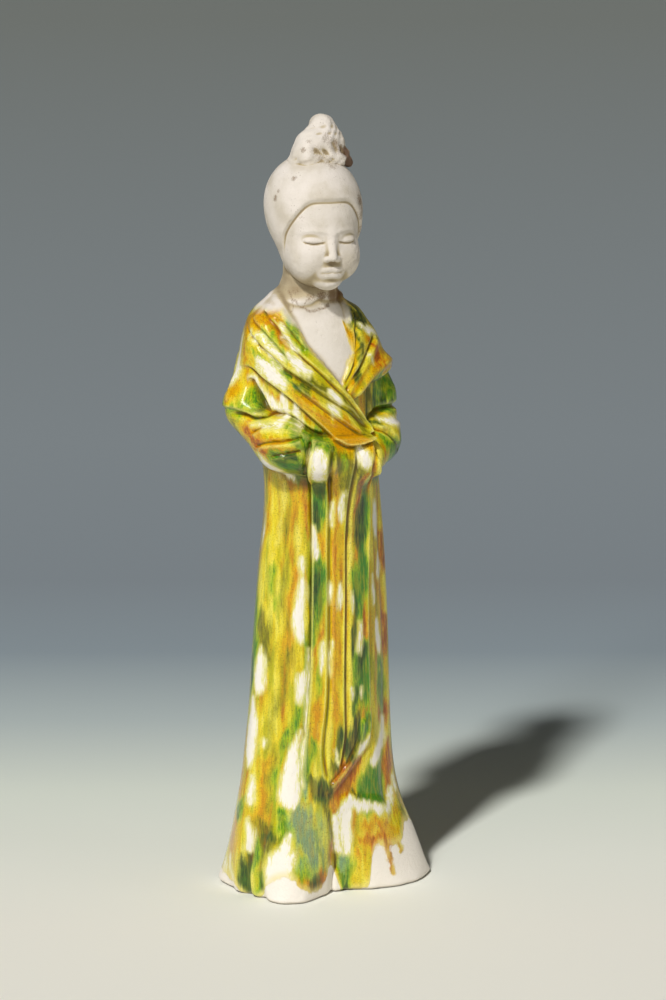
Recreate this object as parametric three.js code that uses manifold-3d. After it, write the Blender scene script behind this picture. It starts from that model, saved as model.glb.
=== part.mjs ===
// A standing attendant of moulded clay in a long gown and shawl, hands hidden in the sleeves.
// One closed solid in millimetres: +Z up, the face towards -Y, the origin on the flat underside.
// The form is drawn in parts, 360 of them to the whole height. Lines of the drapery are given as
// [degrees round the figure, height], with 0 degrees in front and + towards +X.
import * as THREE from 'three';
import Module from 'manifold-3d';

// Driving sizes, in millimetres
const figureHeight = 360; // flat underside to the top of the topknot
const shawlThickness = 2.0; // how far the shawl stands off the gown
const frontBandRise = 0.7; // how much further the band across the chest stands off
const drapeThickness = 1.2; // the cloth hanging over the right upper arm
const streamerThickness = 1.7; // the two shawl ends that hang in front
const streamerRim = 0.7; // the raised edges of those ends
const streamerGroove = 2.1; // depth of the grooves between them
const hairThickness = 1.25; // the step from the forehead to the cap of hair
const neckRingThickness = 0.75; // the bed of clay round the foot of the neck
const footRounding = 1.1; // how far the bottom edge is drawn in

const partsTall = 360;
const part = figureHeight / partsTall;
const inParts = (millimetres) => millimetres / part;

// How finely the facets follow the form. Stretches are [from, to, steps].
const gownColumns = [[-94, 94, 54], [94, 266, 16]]; // degrees
const gownRings = [[0, 2, 1], [2, 8, 1], [8, 40, 4], [40, 52, 2], [52, 60, 1], [60, 72, 1], [72, 90, 1],
  [90, 165, 3], [165, 195, 2], [195, 282, 37], [282, 287, 1], [287, 307, 2]]; // the top ones end in the head
const headColumns = [[-66, 66, 20], [66, 294, 14]];
const headRings = [[-82, -62, 2], [-62, 10, 14], [10, 90, 10]];
const knotColumns = [[0, 360, 16]];
const knotRings = [[-75, 90, 11]];
const finest = { crease: 1.5, edge: 0.9 }; // the narrowest width that the facets can carry
const finestBehind = { crease: 3.2, edge: 2.4 };
const behindFrom = 90; // degrees
const behindTo = 110;

// Body: height, middle across, half width, half depth in front, half depth behind
const gownProfile = [
  [0, 3.5, 44.5, 27, 26],
  [20, 2.2, 42.5, 26.5, 25.5],
  [40, 0.4, 39, 25.5, 25],
  [62, 0.2, 36.1, 24.5, 24],
  [88, 1, 34, 23.5, 23.5],
  [120, 1.6, 32.5, 22.5, 22.5],
  [155, 2.3, 30.1, 21.5, 21.5],
  [178, 2.8, 27.8, 21, 21],
  [195, 2.4, 27, 21.5, 21],
  [212, 0.8, 27.5, 22.5, 22],
  [230, -0.5, 29, 21.5, 23],
  [246, -1.8, 30.5, 20, 23],
  [256, -3.2, 30, 18, 22.5],
  [264, -4.3, 27.5, 15.5, 21.5],
  [271, -4.8, 23.5, 13, 20],
  [277, -5.4, 15.4, 11.6, 16.2],
  [283, -3, 12.4, 10.8, 14.5],
  [300, -1.8, 12.6, 10.5, 14],
];
const gownSquareness = 2.15; // 2 is an oval, more is squarer

// Outline of the spreading hem on the ground: degrees round the figure, distance from the middle
const hemOutline = [
  [-180, 28], [-150, 34], [-130, 44], [-113, 49.5], [-92, 45], [-70, 43.5], [-52, 44.5], [-39, 40],
  [-29, 30.5], [-18, 24.5], [-3, 21.5], [12, 23], [25, 27.5], [44, 37.2], [60, 46.2], [76, 51],
  [96, 50.3], [115, 45], [135, 38], [155, 31], [180, 28],
];
const hemSpread = { height: 62, sweep: 2.4 }; // where the spread begins, and how suddenly it grows
const hemValley = { at: -4, width: 17, from: 56, to: 10 }; // the hollow between the two front lobes
const footRoundingHeight = 2;

// Arms and the fall of cloth below the hands: two ends, two radii
const limbs = [
  { from: [-20, 4, 252], to: [-33, 5, 230.5], radii: [11.6, 8.2] },
  { from: [-33, 3, 226], to: [-23, -14, 213.3], radii: [9.5, 11.6] },
  { from: [-23, -14, 213.3], to: [-11, -23, 207], radii: [11.6, 9] },
  { from: [18, 3, 252], to: [28.5, 0, 229], radii: [11.5, 11.3] },
  { from: [28, -2, 218], to: [25, -10, 211], radii: [11, 11] },
  { from: [25, -10, 211], to: [15, -20, 205], radii: [11, 9.3] },
  { from: [3, -18.5, 206], to: [2.5, -12.5, 178], radii: [9.5, 8.5] },
];
const limbJoin = 5;

// Drapery. cut is the depth of a crease and width its half width; lap is how far the cloth stands
// proud to the left of the line and spread how far that dies away; taper is the share of the line
// over which each end fades.
const pleatLap = 0.9;
const shawlFront = {
  upper: [[-205, 279.5], [-150, 280], [-112, 280], [-80, 279], [-62, 276.5], [-50, 271.5], [-36, 265],
    [-28, 258.5], [-17, 253], [-1, 245], [10, 239], [24, 231], [39, 220.5]],
  lower: [[-205, 221], [-180, 219], [-155, 222], [-128, 233], [-108, 244], [-84, 248], [-69, 242.5],
    [-51, 235.5], [-33, 227.5], [-17, 220.5], [-7, 216], [2, 213.2], [14, 212.8], [27, 214], [37, 217]],
  rise: { from: -125, to: -85 },
  folds: [
    { cut: 1.6, width: 1.0, lap: pleatLap,
      at: [[-90, 275], [-66, 269], [-50, 261.5], [-36, 254], [-18, 246.5], [2, 238], [18, 231], [37, 218.5]] },
    { cut: 1.8, width: 1.1, lap: pleatLap,
      at: [[-96, 266], [-78, 260.5], [-59, 252], [-50, 247.5], [-29, 240.3], [-16, 236], [5, 230],
        [18, 226], [36, 217.5]] },
    { cut: 1.2, width: 0.9, lap: pleatLap,
      at: [[-44, 240], [-30, 234.5], [-12, 228], [5, 222.5], [26, 215.5]] },
    { cut: 1.1, width: 0.9, lap: pleatLap, at: [[-84, 273], [-60, 270.5], [-40, 262.5], [-29, 256]] },
    { cut: 1.2, width: 0.9, lap: pleatLap, at: [[-92, 270], [-72, 265], [-59, 259], [-44, 251]] },
  ],
};
const shawlLeft = {
  upper: [[205, 279.5], [150, 280], [110, 280], [75, 279], [60, 275], [50, 270], [43, 261], [37, 253],
    [25, 248], [17, 243], [9, 238]],
  lower: [[205, 221], [180, 219], [155, 222], [128, 232], [105, 239], [85, 241.5], [65, 239.5],
    [50, 238.5], [36, 235.5], [20, 231.5]],
  folds: [
    { cut: 1.5, width: 1.1, lap: pleatLap, at: [[62, 268], [50, 262], [38, 252], [26, 245], [12, 238.5]] },
    { cut: 1.6, width: 1.1, lap: pleatLap, at: [[74, 259], [57, 253.5], [37, 246], [21, 240], [12, 235]] },
  ],
};
const shawlRoll = {
  at: [[100, 243], [80, 246.5], [62, 244.5], [44, 241], [22, 233.5]],
  height: 2.2,
  widthAtShoulder: 3.2,
  widthAtChest: 1.8,
  taper: 0.1,
};
const backHollows = [
  { low: 262, reach: 52 },
  { low: 250, reach: 62 },
  { low: 237, reach: 74 },
];
const backHollow = { cut: 1.3, width: 2.2, lap: 1.0, spread: 6, taper: 0.25 };
const backHollowSag = 16; // how much lower the middle hangs than the ends
const armDrape = {
  upper: [[-160, 256], [-96, 252], [-76, 241], [-66, 230]],
  lower: [[-160, 238], [-128, 232], [-105, 228.5], [-89, 229], [-83, 228], [-74, 226.5], [-64, 226]],
};
const sleeveFolds = [
  { cut: 1.9, width: 1.3, at: [[-84, 243], [-79, 237], [-73, 231.5], [-64, 226.5]] },
  { lap: 0.8, spread: 3, at: [[-112, 252], [-103, 242], [-94, 231]] },
  { cut: 1.9, width: 1.2,
    at: [[-92, 226.5], [-82, 226.5], [-74, 225], [-62, 227], [-49, 225.3], [-34, 220.3], [-24, 218],
      [-12, 216.5]] },
  { lap: 1.2, spread: 2.4, at: [[-48, 222.5], [-54, 222.5], [-64, 222], [-74, 218.5]] },
  { lap: 1.4, spread: 2.8, at: [[-37, 217.8], [-45, 216.6], [-59, 215.5], [-70, 213]] },
  { cut: 1.3, width: 1.0, at: [[-70, 213], [-59, 215.8], [-45, 217], [-36, 218]] },
  { cut: 1.1, width: 0.9, at: [[-74, 219], [-64, 222.3], [-54, 222.8], [-47, 222.2]] },
  { cut: 1.2, width: 0.9, at: [[-58, 209.8], [-46, 211.5], [-37, 212.6]] },
  { cut: 2.0, width: 1.2, taper: 0.05, at: [[-41, 199], [-35.5, 205], [-33, 210], [-30, 216]] },
  { cut: 1.9, width: 1.3, at: [[40, 219.5], [47, 222], [61, 224.5], [76, 225], [92, 224]] },
  { cut: 1.5, width: 1.1, at: [[41, 219], [48, 216.5], [56, 211], [66, 205]] },
  { lap: 0.9, spread: 2.6, at: [[90, 216], [74, 218], [58, 219], [46, 219]] },
  { cut: 1.9, width: 1.6, at: [[51, 237], [49, 230], [47, 223]] },
  { cut: 1.7, width: 1.1, taper: 0.05, at: [[34, 216], [27, 208], [25, 200], [36, 193]] },
];
const streamers = {
  left: [[-29, 217], [-32.5, 208], [-35.5, 199], [-36.5, 181], [-35, 160], [-34, 120], [-34.5, 99],
    [-37.5, 69], [-37.5, 49]],
  right: [[33, 216], [29, 206], [36, 194], [39, 178], [36.5, 157], [35, 130], [36, 95], [37, 73],
    [29, 66.5], [16, 60.5], [2, 53.5], [-10, 48]],
  grooves: [
    [[-12, 213], [-15.5, 203], [-16.5, 187], [-17.5, 166], [-17, 140], [-16.5, 98], [-19, 71], [-13, 54]],
    [[14, 212], [10, 197], [6.5, 183], [5, 166], [5, 98], [6, 74], [2, 60]],
  ],
  groove: { width: 1.1, taper: 0.02 },
  nearRim: { at: 2.1, width: 0.8, share: 1 }, // to the right of each groove
  farRim: { at: 2.4, width: 1.2, share: 0.4 },
  leftRim: { at: 1.2, width: 0.8, ditch: 1, ditchWidth: 1.4 },
  rightRim: { at: 1.5, width: 1, ditch: 1.1, ditchWidth: 1.5 },
  sweep: { from: 80, to: 66, rise: 0.5, widening: 0.8 }, // the right end swings across and its edge thickens
  leftEnd: { from: 64, to: 48, inner: -6, outer: -16 }, // the left end dies into the skirt
  folds: [{ cut: 1.2, width: 1.0, lap: 1.3, at: [[24, 84], [20, 72], [10, 64], [-2, 58], [-14, 53]] }],
};
const skirtFolds = [
  { cut: 0.9, width: 2.4, taper: 0.18,
    at: [[-76, 197], [-71, 173], [-65, 146], [-58, 118], [-60, 90], [-63, 60]] },
  { cut: 0.9, width: 2.2, taper: 0.18,
    at: [[60, 190], [63, 150], [64, 110], [60, 70], [53, 50], [54, 36]] },
  { lap: 1.0, spread: 9, taper: 0.05, at: [[58, 36], [44, 43], [29, 45.5], [15, 48], [1, 46.7], [-9, 42]] },
];
const hemFolds = [
  { cut: 2.6, width: 2.0, taper: 0, at: [[-79, -2], [-80, 10], [-77, 20], [-71, 38], [-66, 62]] },
  { cut: 2.0, width: 1.8, taper: 0, at: [[-66, -2], [-70, 11], [-69, 22], [-64, 38], [-60, 58]] },
  { cut: 2.0, width: 2.0, taper: 0, at: [[-16, -3], [-13, 9], [-7, 14], [-8, 24], [-11, 38], [-16, 48]] },
  { cut: 1.8, width: 3.0, taper: 0, at: [[100, -2], [98, 20], [92, 45]] },
];
const hemFoldFade = { from: 60, to: 14 };
// Soft waves round the skirt: how many to a turn, and the angles and heights over which they grow
const flutes = [
  { perTurn: 9, height: 0.6, phase: 0.6, angles: [0.62, 0.9], heights: [205, 170] },
  { perTurn: 6, height: 1.1, phase: 0.4, angles: [1.9, 2.4], heights: [90, 0] },
];
const neckRing = {
  at: 276.5,
  riseBehind: 1.8,
  top: [8, 2], // it dies away this far above its lower edge
  edge: 1,
  waves: [{ height: 0.9, perTurn: 3, phase: 0.5 }, { height: 0.35, perTurn: 5, phase: 1.2 },
    { height: 0.3, perTurn: 9, phase: 0.3 }, { height: 0.3, perTurn: 19, phase: 0 }],
};

// Head, in its own frame: middle at the centre, the face towards -Y. A lump marked both has a twin.
const headMiddle = new THREE.Vector3(-1.2, -2.5, 310);
const headTilt = new THREE.Euler(
  THREE.MathUtils.degToRad(0.5), THREE.MathUtils.degToRad(1), THREE.MathUtils.degToRad(-4), 'ZXY',
);
const headLumps = [
  { middle: [0, 3, 7], radii: [20.6, 22.6, 24] },
  { middle: [-1.5, 7, 12], radii: [17.5, 16, 17], join: 4 },
  { middle: [0, -2.6, -6.5], radii: [17.1, 19, 22], join: 5 },
  { middle: [8, -11.5, -13], radii: [8.1, 9, 9.5], join: 5, both: true }, // cheeks
  { middle: [0, -15.8, -22.6], radii: [6, 5, 4.4], join: 4 }, // chin
];
const sockets = [{ press: 0.9, at: [7.6, -4], radii: [5.4, 3.6] }];
const faceLumps = [
  { middle: [7.8, -17.1, -4.2], radii: [4.6, 3, 2.3], join: 0.9, both: true }, // lids
  { from: [0, -20, -1.5], to: [0, -23.2, -11.6], radii: [1.3, 2.1], join: 1.6 }, // nose
  { middle: [2.5, -21.4, -12.4], radii: [1.7, 1.9, 1.6], join: 0.8, both: true },
  { middle: [0, -18.9, -18.4], radii: [5.8, 2.7, 3.3], join: 2.4 }, // mouth
];
// Lines across the face: depth, half width, height and bend, and how far from at they reach
const faceLines = [
  { press: 0.5, width: 0.45, height: -5.3, bend: 0.035, at: 7.8, full: 3.6, gone: 4.9 }, // closed lids
  { press: -0.35, width: 1.1, height: 0.6, bend: -0.03, at: 7.2, full: 4, gone: 8 }, // brows
  { press: -0.42, width: 0.95, height: -16.9, bow: 0.15, full: 2.4, gone: 5.6 }, // upper lip
  { press: -0.5, width: 1.05, height: -19.7, full: 1.4, gone: 4.6 }, // lower lip
  { press: 0.42, width: 0.6, height: -18.3, bend: -0.012, bow: 0.12, full: 4, gone: 6.4 }, // between them
];
const faceDents = [
  { press: 0.4, at: [0, -22], radii: [3.6, 1.2] },
  { press: 0.3, at: [0, -14.3], radii: [0.8, 1.6] },
];
const lipWave = 1.15;
// Edge of the hair on one side of the face: degrees round the head, degrees up
const hairEdge = [[-14, 36.4], [0, 36.4], [14, 36.4], [26, 35.4], [35, 31.6], [43.5, 24.5], [51.5, 15.5],
  [59.5, 5], [67, -7], [71, -20], [73, -32], [76, -45], [81, -62], [86, -95]];
const hair = { perRadian: 21.6, edge: 0.7, lineDepth: 0.35, lineAt: 0.7, lineWidth: 0.6, thinShare: 0.35 };
const hairThins = { from: -6, to: -52 }; // degrees up
const knotMiddle = new THREE.Vector3(3.5, 1.5, 346);
const knotLumps = [
  { middle: [0.6, 1, 338.6], radii: [13.4, 11.5, 5] },
  { from: [3.5, 1.5, 354.2], to: [6.9, 1.5, 346.4], radii: [5.8, 7.6] },
  { middle: [-3.4, -0.3, 348.3], radii: [5.3, 6, 5.2] },
  { middle: [-4.4, 0, 342.6], radii: [6.8, 7, 6.4] },
  { from: [-2.6, -5.6, 348.2], to: [6.5, -6.5, 342], radii: [1.9, 2] },
  { from: [-6.2, -5.6, 346], to: [-7, -6, 341], radii: [1.8, 2.2] },
  { from: [-7.5, -6.8, 340.6], to: [9.2, -7.8, 340], radii: [1.9, 1.8] },
  { from: [13.2, -1.5, 341], to: [15.6, -1.2, 337.4], radii: [2.6, 2.2] },
].map((lump) => ({ join: 2.2, ...lump }));

const unroll = 30; // parts of width that stand for one radian round the figure
const rays = { start: 66, steps: 46, share: 0.72 }; // each step walks a share of the distance left
const curvePieces = 6; // straight pieces to each stretch of a drawn line

// Small mathematics

const radians = THREE.MathUtils.degToRad;
const degreesOf = THREE.MathUtils.radToDeg;
const clamp01 = (x) => Math.min(1, Math.max(0, x));

function smoothStep(low, high, x) {
  const t = clamp01((x - low) / (high - low));
  return t * t * (3 - 2 * t);
}

function smoothMin(a, b, blend) {
  const h = clamp01(0.5 + (0.5 * (b - a)) / blend);
  return b + (a - b) * h - blend * h * (1 - h);
}

const bell = (distance, width) => Math.exp(-((distance / width) ** 2));

const spaced = (stretches) => stretches.flatMap(([from, to, steps]) => (
  Array.from({ length: steps }, (_, k) => from + ((to - from) * k) / steps)));

// A smooth value from a table whose first column is the place; column picks the value
function fromTable(table, place, column) {
  const last = table.length - 1;
  let i = 0;
  while (i < last - 1 && table[i + 1][0] <= place) i += 1;
  const slope = (k) => {
    const before = table[Math.max(0, k - 1)];
    const after = table[Math.min(last, k + 1)];
    return (after[column] - before[column]) / (after[0] - before[0]);
  };
  const step = table[i + 1][0] - table[i][0];
  const t = clamp01((place - table[i][0]) / step);
  return (2 * t ** 3 - 3 * t ** 2 + 1) * table[i][column] + (t ** 3 - 2 * t ** 2 + t) * step * slope(i)
    + (3 * t ** 2 - 2 * t ** 3) * table[i + 1][column] + (t ** 3 - t ** 2) * step * slope(i + 1);
}

// Signed distances: below zero is inside

function toEllipsoid(point, middle, radii) {
  const x = (point.x - middle[0]) / radii[0];
  const y = (point.y - middle[1]) / radii[1];
  const z = (point.z - middle[2]) / radii[2];
  const near = Math.hypot(x, y, z);
  return (near * (near - 1)) / Math.max(Math.hypot(x / radii[0], y / radii[1], z / radii[2]), Number.EPSILON);
}

function toRoundCone(point, from, to, radii) {
  const axis = new THREE.Vector3(to[0] - from[0], to[1] - from[1], to[2] - from[2]);
  const offset = new THREE.Vector3(point.x - from[0], point.y - from[1], point.z - from[2]);
  const t = clamp01(offset.dot(axis) / axis.lengthSq());
  return offset.addScaledVector(axis, -t).length() - (radii[0] + (radii[1] - radii[0]) * t);
}

const toLump = (point, lump) => (lump.middle
  ? toEllipsoid(point, lump.middle, lump.radii)
  : toRoundCone(point, lump.from, lump.to, lump.radii));

function toColumn(across, back, height) {
  const angle = Math.atan2(across, -back);
  const halfWidth = fromTable(gownProfile, height, 2);
  const halfDepth = fromTable(gownProfile, height, Math.cos(angle) > 0 ? 3 : 4);
  const sides = Math.abs(Math.sin(angle) / halfWidth) ** gownSquareness;
  const ends = Math.abs(Math.cos(angle) / halfDepth) ** gownSquareness;
  const plain = (sides + ends) ** (-1 / gownSquareness);
  const spread = clamp01(1 - height / hemSpread.height) ** hemSpread.sweep;
  const valley = bell(degreesOf(angle) - hemValley.at, hemValley.width);
  const share = spread + (smoothStep(hemValley.from, hemValley.to, height) - spread) * valley;
  const radius = plain + (fromTable(hemOutline, degreesOf(angle), 1) - plain) * share;
  return Math.hypot(across, back) - radius + inParts(footRounding) * smoothStep(footRoundingHeight, 0, height);
}

function toGown(point) {
  const column = toColumn(point.x - fromTable(gownProfile, point.z, 1), point.y, point.z);
  return limbs.reduce((nearest, limb) => smoothMin(nearest, toLump(point, limb), limbJoin), column);
}

// Lines on the unrolled gown

const unrolled = (points) => new THREE.SplineCurve(
  points.map(([degrees, height]) => new THREE.Vector2(radians(degrees) * unroll, height)),
).getPoints(curvePieces * (points.length - 1));

// Distance to a run of points, the side of it (1 is its left) and the share of its length
function nearestOnRun(run, u, v) {
  let best = { distance: Infinity, side: 0, share: 0 };
  for (let i = 0; i < run.length - 1; i += 1) {
    const du = run[i + 1].x - run[i].x;
    const dv = run[i + 1].y - run[i].y;
    const fromStart = { u: u - run[i].x, v: v - run[i].y };
    const t = clamp01((fromStart.u * du + fromStart.v * dv) / Math.max(du * du + dv * dv, Number.EPSILON));
    const distance = Math.hypot(fromStart.u - t * du, fromStart.v - t * dv);
    if (distance < best.distance) {
      const side = Math.sign(du * fromStart.v - dv * fromStart.u);
      best = { distance, side, share: (i + t) / (run.length - 1) };
    }
  }
  return best;
}

const fade = (share, taper) => (taper ? smoothStep(0, taper, share) * smoothStep(1, 1 - taper, share) : 1);

// The facets are wider behind, so edges and creases are softer there
function finestAt(u, what) {
  const behind = smoothStep(behindFrom, behindTo, Math.abs(degreesOf(u / unroll)));
  return finest[what] + (finestBehind[what] - finest[what]) * behind;
}

function isInside(outline, u, v) {
  let inside = false;
  outline.forEach((a, i) => {
    const b = outline[(i + 1) % outline.length];
    if (a.y > v !== b.y > v && u < a.x + ((v - a.y) * (b.x - a.x)) / (b.y - a.y)) inside = !inside;
  });
  return inside;
}

// 1 on the cloth between two edges and 0 off it, with a soft step between
function clothPatch(edgeA, edgeB) {
  const outline = [...unrolled(edgeA), ...unrolled(edgeB).reverse()];
  const closed = [...outline, outline[0]];
  return (u, v) => {
    const { distance } = nearestOnRun(closed, u, v);
    const edge = finestAt(u, 'edge');
    return smoothStep(-edge, edge, isInside(outline, u, v) ? distance : -distance);
  };
}

const plainFold = { width: 1, cut: 0, lap: 0, spread: 3, taper: 0.1 };
const readyFold = (fold) => ({ ...plainFold, ...fold, run: unrolled(fold.at) });

function foldHeight(fold, u, v) {
  const { distance, side, share } = nearestOnRun(fold.run, u, v);
  const edge = finestAt(u, 'edge');
  const crease = fold.cut * bell(distance, Math.max(fold.width, finestAt(u, 'crease')));
  const proud = fold.lap * smoothStep(-edge, edge, distance * side) * bell(distance, fold.spread);
  return fade(share, fold.taper) * (proud - crease);
}

const sumFolds = (folds, u, v) => folds.reduce((sum, fold) => sum + foldHeight(fold, u, v), 0);

const frontCloth = clothPatch(shawlFront.upper, shawlFront.lower);
const leftCloth = clothPatch(shawlLeft.upper, shawlLeft.lower);
const drapeCloth = clothPatch(armDrape.upper, armDrape.lower);
const streamerCloth = clothPatch(streamers.left, streamers.right);
const frontPleats = shawlFront.folds.map(readyFold);
const leftPleats = shawlLeft.folds.map(readyFold);
const rollRun = unrolled(shawlRoll.at);
const hollowShares = [-1, -0.6, -0.2, 0.2, 0.6, 1];
const backFolds = backHollows.map(({ low, reach }) => readyFold({
  ...backHollow,
  at: hollowShares.map((k) => [180 + reach * k, low + backHollowSag * k * k]),
}));
const sleeveCreases = sleeveFolds.map(readyFold);
const streamerFolds = streamers.folds.map(readyFold);
const grooveRuns = streamers.grooves.map(unrolled);
const streamerEdges = [
  [unrolled(streamers.left), streamers.leftRim],
  [unrolled(streamers.right), streamers.rightRim],
];
const skirtCreases = skirtFolds.map(readyFold);
const hemCreases = hemFolds.map(readyFold);

// Height of the shawl, and the share of the front band in it
function shawlRelief(u, v) {
  const left = leftCloth(u, v);
  let height = left * (inParts(shawlThickness) + sumFolds(leftPleats, u, v));
  const roll = nearestOnRun(rollRun, u, v);
  const rollWidth = THREE.MathUtils.lerp(shawlRoll.widthAtShoulder, shawlRoll.widthAtChest, roll.share);
  height += shawlRoll.height * bell(roll.distance, rollWidth) * fade(roll.share, shawlRoll.taper);
  const front = frontCloth(u, v);
  const risen = smoothStep(shawlFront.rise.from, shawlFront.rise.to, degreesOf(u / unroll));
  const band = inParts(shawlThickness) + inParts(frontBandRise) * risen + sumFolds(frontPleats, u, v);
  height = height * (1 - front) + front * band;
  const turn = 2 * Math.PI * unroll;
  height += sumFolds(backFolds, (u + turn) % turn, v);
  return { height: height + inParts(drapeThickness) * drapeCloth(u, v) * (1 - front), front };
}

function grooveRelief(run, u, v) {
  const { width, taper } = streamers.groove;
  const { distance, side, share } = nearestOnRun(run, u, v);
  const rim = side < 0 ? streamers.nearRim : streamers.farRim;
  const rise = inParts(streamerRim) * rim.share * bell(distance - rim.at, rim.width);
  const sink = inParts(streamerGroove) * bell(distance, Math.max(width, finest.crease));
  return fade(share, taper) * (rise - sink);
}

function streamerRelief(u, v) {
  const { leftEnd, sweep } = streamers;
  const leftEnds = smoothStep(leftEnd.from, leftEnd.to, v)
    * smoothStep(leftEnd.inner, leftEnd.outer, degreesOf(u / unroll));
  const cloth = streamerCloth(u, v) * (1 - leftEnds);
  let height = cloth * (inParts(streamerThickness) + sumFolds(streamerFolds, u, v));
  grooveRuns.forEach((run) => {
    height += cloth * grooveRelief(run, u, v);
  });
  const swept = smoothStep(sweep.from, sweep.to, v);
  streamerEdges.forEach(([run, rim], isRight) => {
    const { distance } = nearestOnRun(run, u, v);
    const rise = inParts(streamerRim) + sweep.rise * swept * isRight;
    height += cloth * rise * bell(distance - rim.at, rim.width + sweep.widening * swept * isRight);
    height -= (1 - cloth) * rim.ditch * bell(distance, rim.ditchWidth);
  });
  return height;
}

function skirtRelief(u, v, angle) {
  const waves = flutes.reduce((sum, { perTurn, height, phase, angles, heights }) => {
    const grown = smoothStep(...angles, Math.abs(angle)) * smoothStep(...heights, v);
    return sum + height * Math.cos(perTurn * angle + phase) * grown;
  }, 0);
  const hem = sumFolds(hemCreases, u, v) * smoothStep(hemFoldFade.from, hemFoldFade.to, v);
  return waves + sumFolds(skirtCreases, u, v) + hem;
}

// The bed of clay that was pressed round the foot of the neck, with a ragged lower edge
function neckRingRelief(angle, v) {
  const { at, riseBehind, top, edge, waves } = neckRing;
  const waved = waves.reduce(
    (sum, { height, perTurn, phase }) => sum + height * Math.sin(perTurn * angle + phase), 0,
  );
  const above = v - (at + riseBehind * (1 - Math.cos(angle)) + waved);
  return inParts(neckRingThickness) * smoothStep(-edge, edge, above) * smoothStep(...top, above);
}

// How far the drapery stands off the plain gown at an angle and a height
function drapery(angle, v) {
  const u = angle * unroll;
  const shawl = shawlRelief(u, v);
  return shawl.height + sumFolds(sleeveCreases, u, v) + streamerRelief(u, v) + skirtRelief(u, v, angle)
    + neckRingRelief(angle, v) * (1 - shawl.front);
}

// Head and hair

const hairRun = unrolled(hairEdge.map(([around, up]) => [around, radians(up) * unroll]));

// How far the hair stands off the head in a direction, with the line pressed along its edge
function hairRelief(point) {
  const around = Math.atan2(Math.abs(point.x), -point.y);
  const up = Math.atan2(point.z, Math.hypot(point.x, point.y));
  const { distance, side } = nearestOnRun(hairRun, around * unroll, up * unroll);
  const outside = (distance * side * hair.perRadian) / unroll;
  const full = smoothStep(hairThins.to, hairThins.from, degreesOf(up));
  const thickness = inParts(hairThickness) * (hair.thinShare + (1 - hair.thinShare) * full);
  return thickness * smoothStep(-hair.edge, hair.edge, outside)
    - hair.lineDepth * bell(outside + hair.lineAt, hair.lineWidth);
}

const addLumps = (distance, point, side, lumps) => lumps.reduce(
  (nearest, lump) => smoothMin(nearest, toLump(lump.both ? side : point, lump), lump.join), distance,
);

const addDents = (distance, side, dents) => dents.reduce((sum, { press, at, radii }) => (
  sum + press * bell(Math.hypot((side.x - at[0]) / radii[0], (side.z - at[1]) / radii[1]), 1)), distance);

const addLines = (distance, side, lines) => lines.reduce((sum, line) => {
  const { press, width, height, bend = 0, bow = 0, at = 0, full, gone } = line;
  const lineHeight = height + bend * (side.x - at) ** 2 + bow * Math.cos(lipWave * side.x);
  return sum + press * bell(side.z - lineHeight, width) * smoothStep(gone, full, Math.abs(side.x - at));
}, distance);

function toHead(point) {
  const side = new THREE.Vector3(Math.abs(point.x), point.y, point.z);
  let distance = addLumps(toLump(point, headLumps[0]), point, side, headLumps.slice(1));
  if (point.y < 0) {
    distance = addDents(distance, side, sockets);
    distance = addLumps(distance, point, side, faceLumps);
    distance = addDents(addLines(distance, side, faceLines), side, faceDents);
  }
  return distance - hairRelief(point);
}

const toTopknot = (point) => addLumps(toLump(point, knotLumps[0]), point, point, knotLumps.slice(1));

// Skins: rings of points found by walking rays in from outside until they meet the form

function walkIn(distanceTo, origin, direction, proud) {
  const point = new THREE.Vector3();
  let reach = rays.start;
  for (let step = 0; step < rays.steps; step += 1) {
    point.copy(origin).addScaledVector(direction, reach);
    reach -= rays.share * (distanceTo(point) - proud);
  }
  return point.copy(origin).addScaledVector(direction, reach);
}

const fromAngle = (angle) => new THREE.Vector3(Math.sin(angle), -Math.cos(angle), 0);

function onGown(degrees, height) {
  const angle = radians(degrees > 180 ? degrees - 360 : degrees);
  const origin = new THREE.Vector3(fromTable(gownProfile, height, 1), 0, height);
  return walkIn(toGown, origin, fromAngle(angle), drapery(angle, height));
}

const onBall = (distanceTo, middle) => (degrees, up) => walkIn(
  distanceTo,
  middle,
  fromAngle(radians(degrees)).multiplyScalar(Math.cos(radians(up))).setZ(Math.sin(radians(up))),
  0,
);

// A closed mesh from rings of points. Each four-sided cell is split along the diagonal whose
// middle lies nearer the form.
function closedSkin(onForm, columns, levels, bottom, top) {
  const rings = levels.map((level) => columns.map((column) => onForm(column, level)));
  const points = [...rings.flat(), bottom, top];
  const count = columns.length;
  const triangles = [];
  const at = (i, j) => i * count + (j % count);
  for (let i = 0; i < levels.length - 1; i += 1) {
    for (let j = 0; j < count; j += 1) {
      const [a, b, c, d] = [at(i, j), at(i, j + 1), at(i + 1, j + 1), at(i + 1, j)];
      const nextColumn = j + 1 < count ? columns[j + 1] : columns[0] + 360;
      const middle = onForm((columns[j] + nextColumn) / 2, (levels[i] + levels[i + 1]) / 2);
      const miss = (p, q) => points[p].clone().add(points[q]).multiplyScalar(0.5).distanceTo(middle);
      if (miss(a, c) < miss(b, d)) triangles.push([a, b, c], [a, c, d]);
      else triangles.push([a, b, d], [b, c, d]);
    }
  }
  const [below, above] = [points.length - 2, points.length - 1];
  for (let j = 0; j < count; j += 1) {
    triangles.push([below, at(0, j + 1), at(0, j)]);
    triangles.push([above, at(levels.length - 1, j), at(levels.length - 1, j + 1)]);
  }
  return { points, triangles };
}

function gownSkin() {
  const levels = spaced(gownRings);
  const top = levels[levels.length - 1];
  const bottomMiddle = new THREE.Vector3(0, 0, 0);
  const topMiddle = new THREE.Vector3(fromTable(gownProfile, top, 1), 0, top);
  return closedSkin(onGown, spaced(gownColumns), levels, bottomMiddle, topMiddle);
}

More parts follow.
